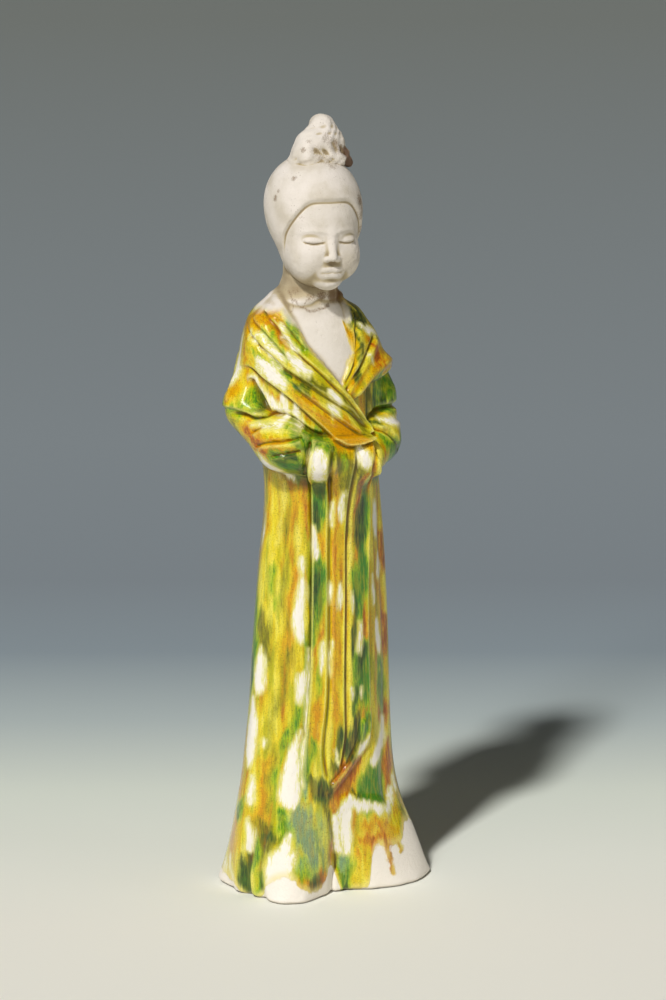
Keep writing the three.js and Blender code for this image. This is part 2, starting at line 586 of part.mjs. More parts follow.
function ballSkin(distanceTo, middle, rings, columns) {
  const onForm = onBall(distanceTo, middle);
  return closedSkin(onForm, spaced(columns), spaced(rings), onForm(0, -90), onForm(0, 90));
}

// Joining

const wasm = await Module();
wasm.setup();

function solidOf({ points, triangles }) {
  const millimetres = points.flatMap(({ x, y, z }) => [x * part, y * part, z * part]);
  return new wasm.Manifold(new wasm.Mesh({
    numProp: 3,
    vertProperties: Float32Array.from(millimetres),
    triVerts: Uint32Array.from(triangles.flat()),
  }));
}

function geometryOf(solid) {
  const mesh = solid.getMesh();
  const geometry = new THREE.BufferGeometry();
  geometry.setAttribute('position', new THREE.BufferAttribute(Float32Array.from(mesh.vertProperties), 3));
  geometry.setIndex(new THREE.BufferAttribute(Uint32Array.from(mesh.triVerts), 1));
  geometry.computeVertexNormals();
  return geometry;
}

const headSkin = ballSkin(toHead, new THREE.Vector3(), headRings, headColumns);
const headTurn = new THREE.Matrix4().makeRotationFromEuler(headTilt);
headSkin.points.forEach((point) => point.applyMatrix4(headTurn).add(headMiddle));

const figureSolid = solidOf(gownSkin())
  .add(solidOf(headSkin))
  .add(solidOf(ballSkin(toTopknot, knotMiddle, knotRings, knotColumns)));

const glazedClay = new THREE.MeshStandardMaterial({ color: 0xc8962e, roughness: 0.25, metalness: 0 });
const figure = new THREE.Mesh(geometryOf(figureSolid), glazedClay);
figure.name = 'figure';

const model = new THREE.Group();
model.add(figure);

export default model;
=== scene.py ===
from math import cos, pi, radians, sin

import bpy
import numpy as np
from mathutils import Euler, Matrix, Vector


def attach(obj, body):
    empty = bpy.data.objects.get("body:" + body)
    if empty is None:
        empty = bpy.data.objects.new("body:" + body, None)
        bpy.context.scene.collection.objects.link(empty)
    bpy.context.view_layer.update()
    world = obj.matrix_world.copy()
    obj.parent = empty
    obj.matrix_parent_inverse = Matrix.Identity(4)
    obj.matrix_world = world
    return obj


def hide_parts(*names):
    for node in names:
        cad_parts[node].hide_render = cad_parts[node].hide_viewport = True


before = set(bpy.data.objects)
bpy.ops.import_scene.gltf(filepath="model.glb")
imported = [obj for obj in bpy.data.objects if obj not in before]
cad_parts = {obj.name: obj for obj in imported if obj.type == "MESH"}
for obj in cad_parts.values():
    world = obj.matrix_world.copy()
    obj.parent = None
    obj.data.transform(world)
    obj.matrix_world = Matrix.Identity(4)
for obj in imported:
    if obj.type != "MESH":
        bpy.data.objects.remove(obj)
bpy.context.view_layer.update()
print("frame loaded")

partsTall = 360
figureHeight = 0.36  # metres
part = figureHeight / partsTall

# The gown: height, middle across, half width, half depth in front, half depth behind
gown = {
    "profile": [
        (0, 3.5, 44.5, 27, 26),
        (20, 2.2, 42.5, 26.5, 25.5),
        (40, 0.4, 39, 25.5, 25),
        (62, 0.2, 36.1, 24.5, 24),
        (88, 1, 34, 23.5, 23.5),
        (120, 1.6, 32.5, 22.5, 22.5),
        (155, 2.3, 30.1, 21.5, 21.5),
        (178, 2.8, 27.8, 21, 21),
        (195, 2.4, 27, 21.5, 21),
        (212, 0.8, 27.5, 22.5, 22),
        (230, -0.5, 29, 21.5, 23),
        (246, -1.8, 30.5, 20, 23),
        (256, -3.2, 30, 18, 22.5),
        (264, -4.3, 27.5, 15.5, 21.5),
        (271, -4.8, 23.5, 13, 20),
        (277, -5.4, 15.4, 11.6, 16.2),
        (283, -3, 12.4, 10.8, 14.5),
        (300, -1.8, 12.6, 10.5, 14),
    ],
    "squareness": 2.15,  # 2 is an oval, more is squarer
    # the spreading hem on the ground: degrees round, distance from the middle
    "hemOutline": [
        (-180, 28), (-150, 34), (-130, 44), (-113, 49.5), (-92, 45), (-70, 43.5), (-52, 44.5), (-39, 40),
        (-29, 30.5), (-18, 24.5), (-3, 21.5), (12, 23), (25, 27.5), (44, 37.2), (60, 46.2), (76, 51),
        (96, 50.3), (115, 45), (135, 38), (155, 31), (180, 28),
    ],
    "spreadHeight": 62,
    "spreadSweep": 2.4,
    "valley": {"at": -4, "width": 17, "starts": 56, "full": 10},
    "footRounding": 1.1,
    "footRoundingHeight": 2,
    "columns": [(-100, 100, 228), (100, 260, 46)],  # stretches of the mesh: from, to, steps
    "rings": [(0, 1.5, 5), (1.5, 3, 2), (3, 42, 30), (42, 84, 44), (84, 198, 40), (198, 288, 140),
              (288, 300, 3)],
}

# Arms and the fall of cloth below the hands: two ends and two radii
limbs = [
    ((-20, 4, 252), (-33, 5, 230.5), (11.6, 8.2)),
    ((-33, 3, 226), (-23, -14, 213.3), (9.5, 11.6)),
    ((-23, -14, 213.3), (-11, -23, 207), (11.6, 9)),
    ((18, 3, 252), (28.5, 0, 229), (11.5, 11.3)),
    ((28, -2, 218), (25, -10, 211), (11, 11)),
    ((25, -10, 211), (15, -20, 205), (11, 9.3)),
    ((3, -18.5, 206), (2.5, -12.5, 178), (9.5, 8.5)),
]
limbJoin = 5

# A fold along a line: cut is the depth of a crease and width its half width; lap is how far the cloth
# stands proud to the left of the line and spread how far that dies away; taper fades both its ends.
foldDefaults = {"cut": 0, "width": 1, "lap": 0, "spread": 3, "taper": 0.1}
pleatLap = 0.9


def crease(cut, width, at, **more):
    return {**foldDefaults, "cut": cut, "width": width, "at": at, **more}


def pleat(cut, width, at):
    return crease(cut, width, at, lap=pleatLap)


def overlap(lap, spread, at, **more):
    return {**foldDefaults, "lap": lap, "spread": spread, "at": at, **more}


shawl = {
    "thickness": 2.0,
    "frontRise": 0.7,
    "frontRises": (-125, -85),
    "frontUpper": [(-205, 279.5), (-150, 280), (-112, 280), (-80, 279), (-62, 276.5), (-50, 271.5),
                   (-36, 265), (-28, 258.5), (-17, 253), (-1, 245), (10, 239), (24, 231), (39, 220.5)],
    "frontLower": [(-205, 221), (-180, 219), (-155, 222), (-128, 233), (-108, 244), (-84, 248),
                   (-69, 242.5), (-51, 235.5), (-33, 227.5), (-17, 220.5), (-7, 216), (2, 213.2),
                   (14, 212.8), (27, 214), (37, 217)],
    "frontFolds": [
        pleat(1.6, 1.0, [(-90, 275), (-66, 269), (-50, 261.5), (-36, 254), (-18, 246.5), (2, 238),
                         (18, 231), (37, 218.5)]),
        pleat(1.8, 1.1, [(-96, 266), (-78, 260.5), (-59, 252), (-50, 247.5), (-29, 240.3), (-16, 236),
                         (5, 230), (18, 226), (36, 217.5)]),
        pleat(1.2, 0.9, [(-44, 240), (-30, 234.5), (-12, 228), (5, 222.5), (26, 215.5)]),
        pleat(1.1, 0.9, [(-84, 273), (-60, 270.5), (-40, 262.5), (-29, 256)]),
        pleat(1.2, 0.9, [(-92, 270), (-72, 265), (-59, 259), (-44, 251)]),
    ],
    "leftUpper": [(205, 279.5), (150, 280), (110, 280), (75, 279), (60, 275), (50, 270), (43, 261),
                  (37, 253), (25, 248), (17, 243), (9, 238)],
    "leftLower": [(205, 221), (180, 219), (155, 222), (128, 232), (105, 239), (85, 241.5), (65, 239.5),
                  (50, 238.5), (36, 235.5), (20, 231.5)],
    "leftFolds": [
        pleat(1.5, 1.1, [(62, 268), (50, 262), (38, 252), (26, 245), (12, 238.5)]),
        pleat(1.6, 1.1, [(74, 259), (57, 253.5), (37, 246), (21, 240), (12, 235)]),
    ],
    "armEase": {"by": 0.9, "at": -99, "width": 14},  # the band lies flat where it goes over the arm
    "roll": {"at": [(100, 243), (80, 246.5), (62, 244.5), (44, 241), (22, 233.5)], "height": 2.2,
             "widthAtShoulder": 3.2, "widthAtChest": 1.8, "taper": 0.1},
    "backHollows": [(262, 52), (250, 62), (237, 74)],  # lowest height, reach to each side in degrees
    "backHollow": {"cut": 1.3, "width": 2.2, "lap": 1.0, "spread": 6, "taper": 0.25},
    "backSag": 16,
}

sleeves = {
    "drapeThickness": 1.2,
    "drapeUpper": [(-160, 256), (-96, 252), (-76, 241), (-66, 230)],
    "drapeLower": [(-160, 238), (-128, 232), (-105, 228.5), (-89, 229), (-83, 228), (-74, 226.5), (-64, 226)],
    "folds": [
        crease(1.9, 1.3, [(-84, 243), (-79, 237), (-73, 231.5), (-64, 226.5)]),
        overlap(0.8, 3, [(-112, 252), (-103, 242), (-94, 231)]),
        crease(1.9, 1.2, [(-92, 226.5), (-82, 226.5), (-74, 225), (-62, 227), (-49, 225.3), (-34, 220.3),
                          (-24, 218), (-12, 216.5)]),
        overlap(1.2, 2.4, [(-48, 222.5), (-54, 222.5), (-64, 222), (-74, 218.5)]),
        overlap(1.4, 2.8, [(-37, 217.8), (-45, 216.6), (-59, 215.5), (-70, 213)]),
        crease(1.3, 1.0, [(-70, 213), (-59, 215.8), (-45, 217), (-36, 218)]),
        crease(1.1, 0.9, [(-74, 219), (-64, 222.3), (-54, 222.8), (-47, 222.2)]),
        crease(1.2, 0.9, [(-58, 209.8), (-46, 211.5), (-37, 212.6)]),
        crease(1.2, 1.2, [(-40, 200), (-35.5, 205), (-33, 210), (-30, 216)], taper=0.1),
        crease(1.9, 1.3, [(40, 219.5), (47, 222), (61, 224.5), (76, 225), (92, 224)]),
        crease(1.5, 1.1, [(41, 219), (48, 216.5), (56, 211), (66, 205)]),
        overlap(0.9, 2.6, [(90, 216), (74, 218), (58, 219), (46, 219)]),
        crease(1.9, 1.6, [(51, 237), (49, 230), (47, 223)]),
        crease(1.7, 1.1, [(34, 216), (27, 208), (25, 200), (36, 193)], taper=0.05),
    ],
}

streamers = {
    "thickness": 1.7,
    "rim": 0.6,
    "left": [(-29, 217), (-32.5, 208), (-35.5, 199), (-36.5, 181), (-35, 160), (-34, 120), (-34.5, 99),
             (-37.5, 69), (-37.5, 49)],
    "right": [(33, 216), (29, 206), (36, 194), (39, 178), (36.5, 157), (35, 130), (36, 95), (37, 73),
              (29, 66.5), (16, 60.5), (2, 53.5), (-10, 48)],
    "grooves": [
        [(-12, 213), (-15.5, 203), (-15.8, 187), (-15.5, 166), (-14.2, 140), (-13.8, 98), (-17.5, 71),
         (-13, 54)],
        [(13, 212), (8, 197), (5.5, 183), (6, 166), (6.5, 140), (6, 98), (7, 74), (2, 60)],
    ],
    "groove": {"depth": 1.2, "width": 1.15, "taper": 0.06},
    "nearRim": {"at": 2.1, "width": 0.8, "share": 1},
    "farRim": {"at": 2.4, "width": 1.2, "share": 0.4},
    "leftRim": {"at": 1.2, "width": 0.8, "ditch": 1, "ditchWidth": 1.4},
    "rightRim": {"at": 1.5, "width": 1, "ditch": 1.1, "ditchWidth": 1.5},
    "sweep": {"starts": 80, "full": 66, "rise": -0.4, "widening": 1.4, "thins": 0.55},
    "leftEnd": {"starts": 64, "full": 48, "inner": -6, "outer": -16},
    "folds": [
        crease(1.2, 1.0, [(24, 84), (20, 72), (10, 64), (-2, 58), (-14, 53)], lap=1.3),
    ],
}

skirt = {
    "folds": [
        crease(0.9, 2.4, [(-76, 197), (-71, 173), (-65, 146), (-58, 118), (-60, 90),
                          (-63, 60)], taper=0.18),
        crease(0.9, 2.2, [(60, 190), (63, 150), (64, 110), (60, 70), (53, 50), (54, 36)], taper=0.18),
        overlap(0.75, 9, [(58, 36), (44, 43), (29, 45.5), (15, 48), (1, 46.7), (-9, 42)], taper=0.05),
    ],
    "hemFolds": [
        crease(2.6, 2.0, [(-79, -2), (-80, 10), (-77, 20), (-71, 38), (-66, 62)], taper=0),
        crease(2.0, 1.8, [(-66, -2), (-70, 11), (-69, 22), (-64, 38), (-60, 58)], taper=0),
        crease(2.0, 2.0, [(-16, -3), (-13, 9), (-7, 14), (-8, 24), (-11, 38), (-16, 48)], taper=0),
        crease(1.8, 3.0, [(100, -2), (98, 20), (92, 45)], taper=0),
    ],
    "hemFade": (60, 14),
    "underEdge": {"in": 0.9, "height": 1.5},  # the hem turns in a little where it meets the floor
    # soft waves round the skirt: how many to a turn, height, phase, and where they grow
    "flutes": [(9, 0.6, 0.6, (0.62, 0.9), (205, 170)), (6, 1.1, 0.4, (1.9, 2.4), (90, 0)),
               (13, 0.3, 0.5, (-1, -0.5), (9, 0)), (22, 0.2, 2, (-1, -0.5), (6, 0)),
               (37, 0.12, 1, (-1, -0.5), (4, 0))],
}

# The bed of clay pressed round the foot of the neck; its waves are (height, number to a turn, phase)
neckRing = {
    "thickness": 0.75,
    "at": 276.5,
    "riseBehind": 1.8,
    "top": (8, 2),
    "edge": 1,
    "waves": [(0.9, 3, 0.5), (0.4, 5, 1.2), (0.25, 8, 0.3), (0.12, 13, 0)],
}

# The head, in its own frame with its middle at the centre. A lump marked both has a twin.
head = {
    "middle": (-1.2, -2.5, 310),
    "tilt": (0.5, 1, -4),  # degrees about x, y, z
    "lumps": [
        {"middle": (0, 3, 7), "radii": (20.6, 22.6, 24)},
        {"middle": (-1.5, 7, 12), "radii": (17.5, 16, 17), "join": 4},
        {"middle": (0, -2.6, -6.5), "radii": (17.1, 19, 22), "join": 5},
        {"middle": (8, -11.5, -13), "radii": (8.1, 9, 9.5), "join": 5, "both": True},  # cheeks
        {"middle": (0, -15.8, -22.6), "radii": (6, 5, 4.4), "join": 4},  # chin
    ],
    "sockets": [{"press": 0.9, "at": (7.6, -4), "radii": (5.4, 3.6)}],
    "faceLumps": [
        {"middle": (7.7, -17.2, -4.1), "radii": (4.3, 2.6, 1.8), "join": 1.3, "both": True},  # lids
        {"ends": ((0, -19.6, 0.5), (0, -22.4, -9.6)), "radii": (1.2, 1.5), "join": 2.2},  # nose
        {"middle": (0, -22.7, -11.4), "radii": (1.9, 1.9, 1.7), "join": 1.4},
        {"middle": (2.5, -21.2, -12.1), "radii": (1.4, 1.8, 1.3), "join": 1, "both": True},
        {"middle": (0, -18.9, -18.4), "radii": (5.8, 2.7, 3.3), "join": 2.4},  # mouth
    ],
    # lines across the face: depth, half width, height and bend, and how far from at they reach
    "lines": [
        {"press": 0.5, "width": 0.45, "height": -5.3, "bend": 0.035, "at": 7.8, "full": 3.6, "gone": 4.9},
        {"press": -0.35, "width": 1.1, "height": 0.6, "bend": -0.03, "at": 7.2, "full": 4, "gone": 8},
        {"press": -0.42, "width": 0.95, "height": -16.9, "bow": 0.15, "full": 2.4, "gone": 5.6},
        {"press": -0.5, "width": 1.05, "height": -19.7, "full": 1.4, "gone": 4.6},
        {"press": 0.42, "width": 0.6, "height": -18.3, "bend": -0.012, "bow": 0.12, "full": 4, "gone": 6.4},
    ],
    "dents": [
        {"press": 0.4, "at": (0, -22), "radii": (3.6, 1.2)},
        {"press": 0.3, "at": (0, -14.3), "radii": (0.8, 1.6)},
    ],
    "lipWave": 1.15,
    # edge of the hair on one side: degrees round the head, degrees up
    "hairEdge": [(-14, 36.4), (0, 36.4), (14, 36.4), (26, 35.4), (35, 31.6), (43.5, 24.5), (51.5, 15.5),
                 (59.5, 5), (67, -7), (71, -20), (73, -32), (76, -45), (81, -62), (86, -95)],
    "hair": {"thickness": 1.25, "perRadian": 21.6, "edge": 0.7, "lineDepth": 0.35, "lineAt": 0.7,
             "lineWidth": 0.55, "thinShare": 0.12, "thins": (-36, 2)},
    "columns": [(-48, 48, 80), (48, 84, 22), (84, 276, 36), (276, 312, 22)],
    "rings": [(-86, -62, 6), (-62, 12, 66), (12, 42, 24), (42, 88, 16)],
}

topknot = {
    "middle": (3.5, 1.5, 346),
    "join": 3.4,
    "lumps": [
        {"middle": (0.6, 1, 338.6), "radii": (13.4, 11.5, 5)},
        {"ends": ((3.5, 1.5, 354.2), (6.9, 1.5, 346.4)), "radii": (5.8, 7.6)},
        {"middle": (-3.4, -0.3, 348.3), "radii": (5.3, 6, 5.2)},
        {"middle": (1.8, -1.6, 347), "radii": (6.6, 6.2, 8)},
        {"middle": (-4.4, 0, 342.6), "radii": (6.8, 7, 6.4)},
        {"ends": ((-2.6, -5.6, 348.2), (6.5, -6.5, 342)), "radii": (1.9, 2)},
        {"ends": ((-6.2, -5.6, 346), (-7, -6, 341)), "radii": (1.8, 2.2)},
        {"ends": ((-7.5, -6.8, 340.6), (9.2, -7.8, 340)), "radii": (1.9, 1.8)},
        {"ends": ((13.2, -1.5, 341), (15.6, -1.2, 337.4)), "radii": (2.6, 2.2)},
    ],
    "strandDepth": 0.3,
    "strandFade": (2, -3),  # they fade out towards the back
    "strandAt": (-0.5, -3),  # across and up
    "strandReach": (6, 5),
    "columns": [(0, 360, 100)],
    "rings": [(-82, 88, 72)],
}

unroll = 30  # parts of width that stand for one radian round the figure
turn = 2 * pi * unroll
rays = {"start": 66, "steps": 46, "share": 0.72}  # each step walks a share of the distance left
curvePieces = 6  # straight pieces to each stretch of a drawn line
finestBehind = {"crease": 1.9, "edge": 1.9}  # the mesh is coarser behind, so the cloth is softer there
behind = (94, 106)  # degrees
edgeWidths = {"low": 2.2, "high": 0.8, "between": (66, 92)}
foldReach = 4  # a fold is felt as far as this many times its width
sharpFrom = 60  # degrees between faces
farAway = 1000
tiny = 1e-9


# Small mathematics

def smoothStep(low, high, x):
    t = np.clip((x - low) / (high - low), 0, 1)
    return t * t * (3 - 2 * t)


def smoothMin(a, b, blend):
    h = np.clip(0.5 + 0.5 * (b - a) / blend, 0, 1)
    return b + (a - b) * h - blend * h * (1 - h)


def bell(distance, width):
    return np.exp(-(distance / width) ** 2)


def spaced(stretches):
    return np.concatenate([np.linspace(a, b, n, endpoint=False) for a, b, n in stretches])


# A smooth value from a table whose first column is the place; column picks the value
def fromTable(table, place, column=1):
    places, values = np.array(table, float)[:, (0, column)].T
    before = np.maximum(np.arange(len(places)) - 1, 0)
    after = np.minimum(np.arange(len(places)) + 1, len(places) - 1)
    slopes = (values[after] - values[before]) / (places[after] - places[before])
    i = np.clip(np.searchsorted(places, place, side="right") - 1, 0, len(places) - 2)
    step = places[i + 1] - places[i]
    t = np.clip((place - places[i]) / step, 0, 1)
    return ((2 * t**3 - 3 * t**2 + 1) * values[i] + (t**3 - 2 * t**2 + t) * step * slopes[i]
            + (3 * t**2 - 2 * t**3) * values[i + 1] + (t**3 - t**2) * step * slopes[i + 1])


# Signed distances: below zero is inside

def toEllipsoid(points, middle, radii):
    scaled = (points - np.array(middle, float)) / radii
    near = np.linalg.norm(scaled, axis=1)
    return near * (near - 1) / np.maximum(np.linalg.norm(scaled / radii, axis=1), tiny)


def toRoundCone(points, a, b, radii):
    start = np.array(a, float)
    axis = np.array(b, float) - start
    t = np.clip((points - start) @ axis / (axis @ axis), 0, 1)
    return np.linalg.norm(points - start - t[:, None] * axis, axis=1) - (radii[0] + (radii[1] - radii[0]) * t)


def toLump(points, lump):
    if "middle" in lump:
        return toEllipsoid(points, lump["middle"], lump["radii"])
    return toRoundCone(points, *lump["ends"], lump["radii"])


def toColumn(across, back, height):
    angle = np.arctan2(across, -back)
    halfWidth = fromTable(gown["profile"], height, 2)
    inFront, atTheBack = (fromTable(gown["profile"], height, column) for column in (3, 4))
    halfDepth = np.where(np.cos(angle) > 0, inFront, atTheBack)
    power = gown["squareness"]
    sides = np.abs(np.sin(angle) / halfWidth) ** power + np.abs(np.cos(angle) / halfDepth) ** power
    plain = sides ** (-1 / power)
    spread = np.clip(1 - height / gown["spreadHeight"], 0, 1) ** gown["spreadSweep"]
    valley = gown["valley"]
    inValley = bell(np.degrees(angle) - valley["at"], valley["width"])
    share = spread + (smoothStep(valley["starts"], valley["full"], height) - spread) * inValley
    radius = plain + (fromTable(gown["hemOutline"], np.degrees(angle)) - plain) * share
    rounding = gown["footRounding"] * smoothStep(gown["footRoundingHeight"], 0, height)
    return np.hypot(across, back) - radius + rounding


def toGown(points):
    x, y, z = points.T
    distance = toColumn(x - fromTable(gown["profile"], z, 1), y, z)
    for a, b, radii in limbs:
        distance = smoothMin(distance, toRoundCone(points, a, b, radii), limbJoin)
    return distance


# Lines on the unrolled gown

def smoothRun(points, pieces=curvePieces):
    padded = np.array([points[0], *points, points[-1]], float)
    t = np.arange(pieces)[:, None] / pieces
    run = []
    for a, b, c, d in zip(padded[:-3], padded[1:-2], padded[2:-1], padded[3:]):
        bent = (2 * a - 5 * b + 4 * c - d) * t**2 + (3 * b - a - 3 * c + d) * t**3
        run.append(0.5 * (2 * b + (c - a) * t + bent))
    return np.vstack(run + [padded[-1:]])


def degreesAt(u):
    return np.degrees(u / unroll)


def unrolled(points):
    return smoothRun([(radians(place[0]) * unroll, *place[1:]) for place in points])


# Which points lie within reach of a run
def nearRun(run, u, v, reach):
    low, high = run[:, :2].min(0) - reach, run[:, :2].max(0) + reach
    return np.flatnonzero((u > low[0]) & (u < high[0]) & (v > low[1]) & (v < high[1]))


# How far along a straight piece each point comes nearest to it, as a share, and how far off it lies
def offPiece(start, end, u, v):
    du, dv = end - start
    t = np.clip(((u - start[0]) * du + (v - start[1]) * dv) / max(du * du + dv * dv, tiny), 0, 1)
    return t, u - start[0] - t * du, v - start[1] - t * dv


# Distance to a run of points, the side of it (1 is its left) and the share of its length
def nearestOnRun(run, u, v, reach=farAway):
    near = nearRun(run, u, v, reach)
    nearU, nearV = u[near], v[near]
    best = np.full(len(near), float(farAway))
    bestSide, bestShare = np.zeros(len(near)), np.zeros(len(near))
    for i, (start, end) in enumerate(zip(run[:-1, :2], run[1:, :2])):
        du, dv = end - start
        t, offU, offV = offPiece(start, end, nearU, nearV)
        distance = np.hypot(offU, offV)
        closer = distance < best
        best = np.where(closer, distance, best)
        bestSide = np.where(closer, np.sign(du * offV - dv * offU), bestSide)
        bestShare = np.where(closer, (i + t) / (len(run) - 1), bestShare)
    found = [np.full(len(u), float(farAway)), np.zeros(len(u)), np.zeros(len(u))]
    for whole, few in zip(found, (best, bestSide, bestShare)):
        whole[near] = few
    return found


def isInside(outline, u, v):
    inside = np.zeros(len(u), bool)
    for a, b in zip(outline, np.roll(outline, -1, 0)):
        if a[1] != b[1]:
            inside ^= ((a[1] > v) != (b[1] > v)) & (u < a[0] + (v - a[1]) * (b[0] - a[0]) / (b[1] - a[1]))
    return inside


# Distance to an outline, positive within it
def depthInside(outline, u, v):
    distance = nearestOnRun(np.vstack([outline, outline[:1]]), u, v)[0]
    return np.where(isInside(outline, u, v), distance, -distance)


def fade(share, taper):
    return smoothStep(0, taper, share) * smoothStep(1, 1 - taper, share) if taper else 1


def finest(u, what):
    aside = np.abs((degreesAt(u) + 180) % 360 - 180)
    return finestBehind[what] * smoothStep(*behind, aside)


# Edges are crisp on the shawl and round lower down
def lowEdge(v):
    low, high = edgeWidths["low"], edgeWidths["high"]
    return low + (high - low) * smoothStep(*edgeWidths["between"], v)


def clothPatch(edgeA, edgeB, u, v):
    outline = np.vstack([unrolled(edgeA), unrolled(edgeB)[::-1]])
    edge = np.maximum(lowEdge(v), finest(u, "edge"))
    return smoothStep(-edge, edge, depthInside(outline, u, v))


def foldHeight(fold, u, v):
    reach = foldReach * max(fold["width"], fold["spread"])
    distance, side, share = nearestOnRun(unrolled(fold["at"]), u, v, reach)
    edge = np.maximum(lowEdge(v), finest(u, "edge"))
    sunk = fold["cut"] * bell(distance, np.maximum(fold["width"], finest(u, "crease")))
    proud = fold["lap"] * smoothStep(-edge, edge, distance * side) * bell(distance, fold["spread"])
    return fade(share, fold["taper"]) * (proud - sunk)


def sumFolds(folds, u, v):
    return sum(foldHeight(fold, u, v) for fold in folds)


# Height of the shawl, and the share of the front band in it
def shawlRelief(u, v):
    left = clothPatch(shawl["leftUpper"], shawl["leftLower"], u, v)
    height = left * (shawl["thickness"] + sumFolds(shawl["leftFolds"], u, v))
    roll = shawl["roll"]
    distance, _, share = nearestOnRun(unrolled(roll["at"]), u, v)
    width = roll["widthAtShoulder"] + (roll["widthAtChest"] - roll["widthAtShoulder"]) * share
    height += roll["height"] * bell(distance, width) * fade(share, roll["taper"])
    front = clothPatch(shawl["frontUpper"], shawl["frontLower"], u, v)
    band = shawl["thickness"] + shawl["frontRise"] * smoothStep(*shawl["frontRises"], degreesAt(u))
    flat = shawl["armEase"]
    band = band - flat["by"] * bell(degreesAt(u) - flat["at"], flat["width"])
    height = height * (1 - front) + front * (band + sumFolds(shawl["frontFolds"], u, v))
    for low, reach in shawl["backHollows"]:
        at = [(180 + reach * k, low + shawl["backSag"] * k * k) for k in (-1, -0.6, -0.2, 0.2, 0.6, 1)]
        height += foldHeight(crease(**shawl["backHollow"], at=at), (u + turn) % turn, v)
    drape = clothPatch(sleeves["drapeUpper"], sleeves["drapeLower"], u, v)
    return height + sleeves["drapeThickness"] * drape * (1 - front), front


def streamerRelief(u, v):
    end, sweep, groove = streamers["leftEnd"], streamers["sweep"], streamers["groove"]
    leftEnds = smoothStep(end["inner"], end["outer"], degreesAt(u))
    leftEnds *= smoothStep(end["starts"], end["full"], v)
    cloth = clothPatch(streamers["left"], streamers["right"], u, v) * (1 - leftEnds)
    swept = smoothStep(sweep["starts"], sweep["full"], v)
    thinned = 1 - sweep["thins"] * swept
    height = cloth * (streamers["thickness"] * thinned + sumFolds(streamers["folds"], u, v))
    for line in streamers["grooves"]:
        distance, side, share = nearestOnRun(unrolled(line), u, v)
        for rim, onSide in ((streamers["nearRim"], side < 0), (streamers["farRim"], side > 0)):
            rise = streamers["rim"] * rim["share"] * bell(distance - rim["at"], rim["width"])
            height += cloth * rise * onSide * fade(share, groove["taper"])
        height -= cloth * groove["depth"] * bell(distance, groove["width"]) * fade(share, groove["taper"])
    for name, grows in (("left", 0), ("right", 1)):
        rim = streamers[name + "Rim"]
        distance = nearestOnRun(unrolled(streamers[name]), u, v)[0]
        width = rim["width"] + sweep["widening"] * swept * grows
        rise = streamers["rim"] + sweep["rise"] * swept * grows
        height += cloth * rise * bell(distance - rim["at"], width)
        height -= (1 - cloth) * rim["ditch"] * thinned * bell(distance, rim["ditchWidth"])
    return height


def skirtRelief(u, v, angle):
    height = sumFolds(skirt["folds"], u, v)
    height += sumFolds(skirt["hemFolds"], u, v) * smoothStep(*skirt["hemFade"], v)
    for perTurn, wave, phase, angles, heights in skirt["flutes"]:
        grown = smoothStep(*angles, np.abs(angle)) * smoothStep(*heights, v)
        height += wave * np.cos(perTurn * angle + phase) * grown
    under = skirt["underEdge"]
    return height - under["in"] * (1 - np.clip(v / under["height"], 0, 1))**2


def neckRingRelief(angle, v):
    waved = sum(height * np.sin(count * angle + phase) for height, count, phase in neckRing["waves"])
    above = v - (neckRing["at"] + neckRing["riseBehind"] * (1 - np.cos(angle)) + waved)
    rises = smoothStep(-neckRing["edge"], neckRing["edge"], above)
    return neckRing["thickness"] * rises * smoothStep(*neckRing["top"], above)


# How far the drapery stands off the plain gown at an angle and a height
def drapery(angle, v):
    u = angle * unroll
    height, front = shawlRelief(u, v)
    return (height + sumFolds(sleeves["folds"], u, v) + streamerRelief(u, v) + skirtRelief(u, v, angle)
            + neckRingRelief(angle, v) * (1 - front))


# Head and hair

# How far a direction lies outside the opening of the face, along the skin, and how far it is up
def outsideFace(points):
    x, y, z = points.T
    around, up = np.arctan2(np.abs(x), -y), np.arctan2(z, np.hypot(x, y))
    run = unrolled([(degrees, radians(high) * unroll) for degrees, high in head["hairEdge"]])
    distance, side, _ = nearestOnRun(run, around * unroll, up * unroll)
    return distance * side * head["hair"]["perRadian"] / unroll, np.degrees(up)


def hairRelief(points):
    hair = head["hair"]
    outside, up = outsideFace(points)
    share = hair["thinShare"] + (1 - hair["thinShare"]) * smoothStep(*hair["thins"], up)
    line = hair["lineDepth"] * bell(outside + hair["lineAt"], hair["lineWidth"])
    return share * (hair["thickness"] * smoothStep(-hair["edge"], hair["edge"], outside) - line)


def addLumps(distance, points, mirrored, lumps, join=0):
    for lump in lumps:
        toThis = toLump(mirrored if lump.get("both") else points, lump)
        distance = smoothMin(distance, toThis, lump.get("join", join))
    return distance


def dents(mirrored, shapes):
    x, _, z = mirrored.T
    return sum(dent["press"] * bell(np.hypot((x - dent["at"][0]) / dent["radii"][0],
                                             (z - dent["at"][1]) / dent["radii"][1]), 1) for dent in shapes)


def faceLines(mirrored):
    x, _, z = mirrored.T
    total = 0
    for line in head["lines"]:
        aside = x - line.get("at", 0)
        bend, bow = line.get("bend", 0), line.get("bow", 0)
        height = line["height"] + bend * aside**2 + bow * np.cos(head["lipWave"] * x)
        reaches = smoothStep(line["gone"], line["full"], np.abs(aside))
        total += line["press"] * bell(z - height, line["width"]) * reaches
    return total


def toHead(points):
    mirrored = points * (1, 1, 1)
    mirrored[:, 0] = np.abs(mirrored[:, 0])
    front = points[:, 1] < 0
    first, *others = head["lumps"]
    distance = addLumps(toLump(points, first), points, mirrored, others)
    pressed = distance + dents(mirrored, head["sockets"])
    pressed = addLumps(pressed, points, mirrored, head["faceLumps"])
    pressed += faceLines(mirrored) + dents(mirrored, head["dents"])
    return np.where(front, pressed, distance)


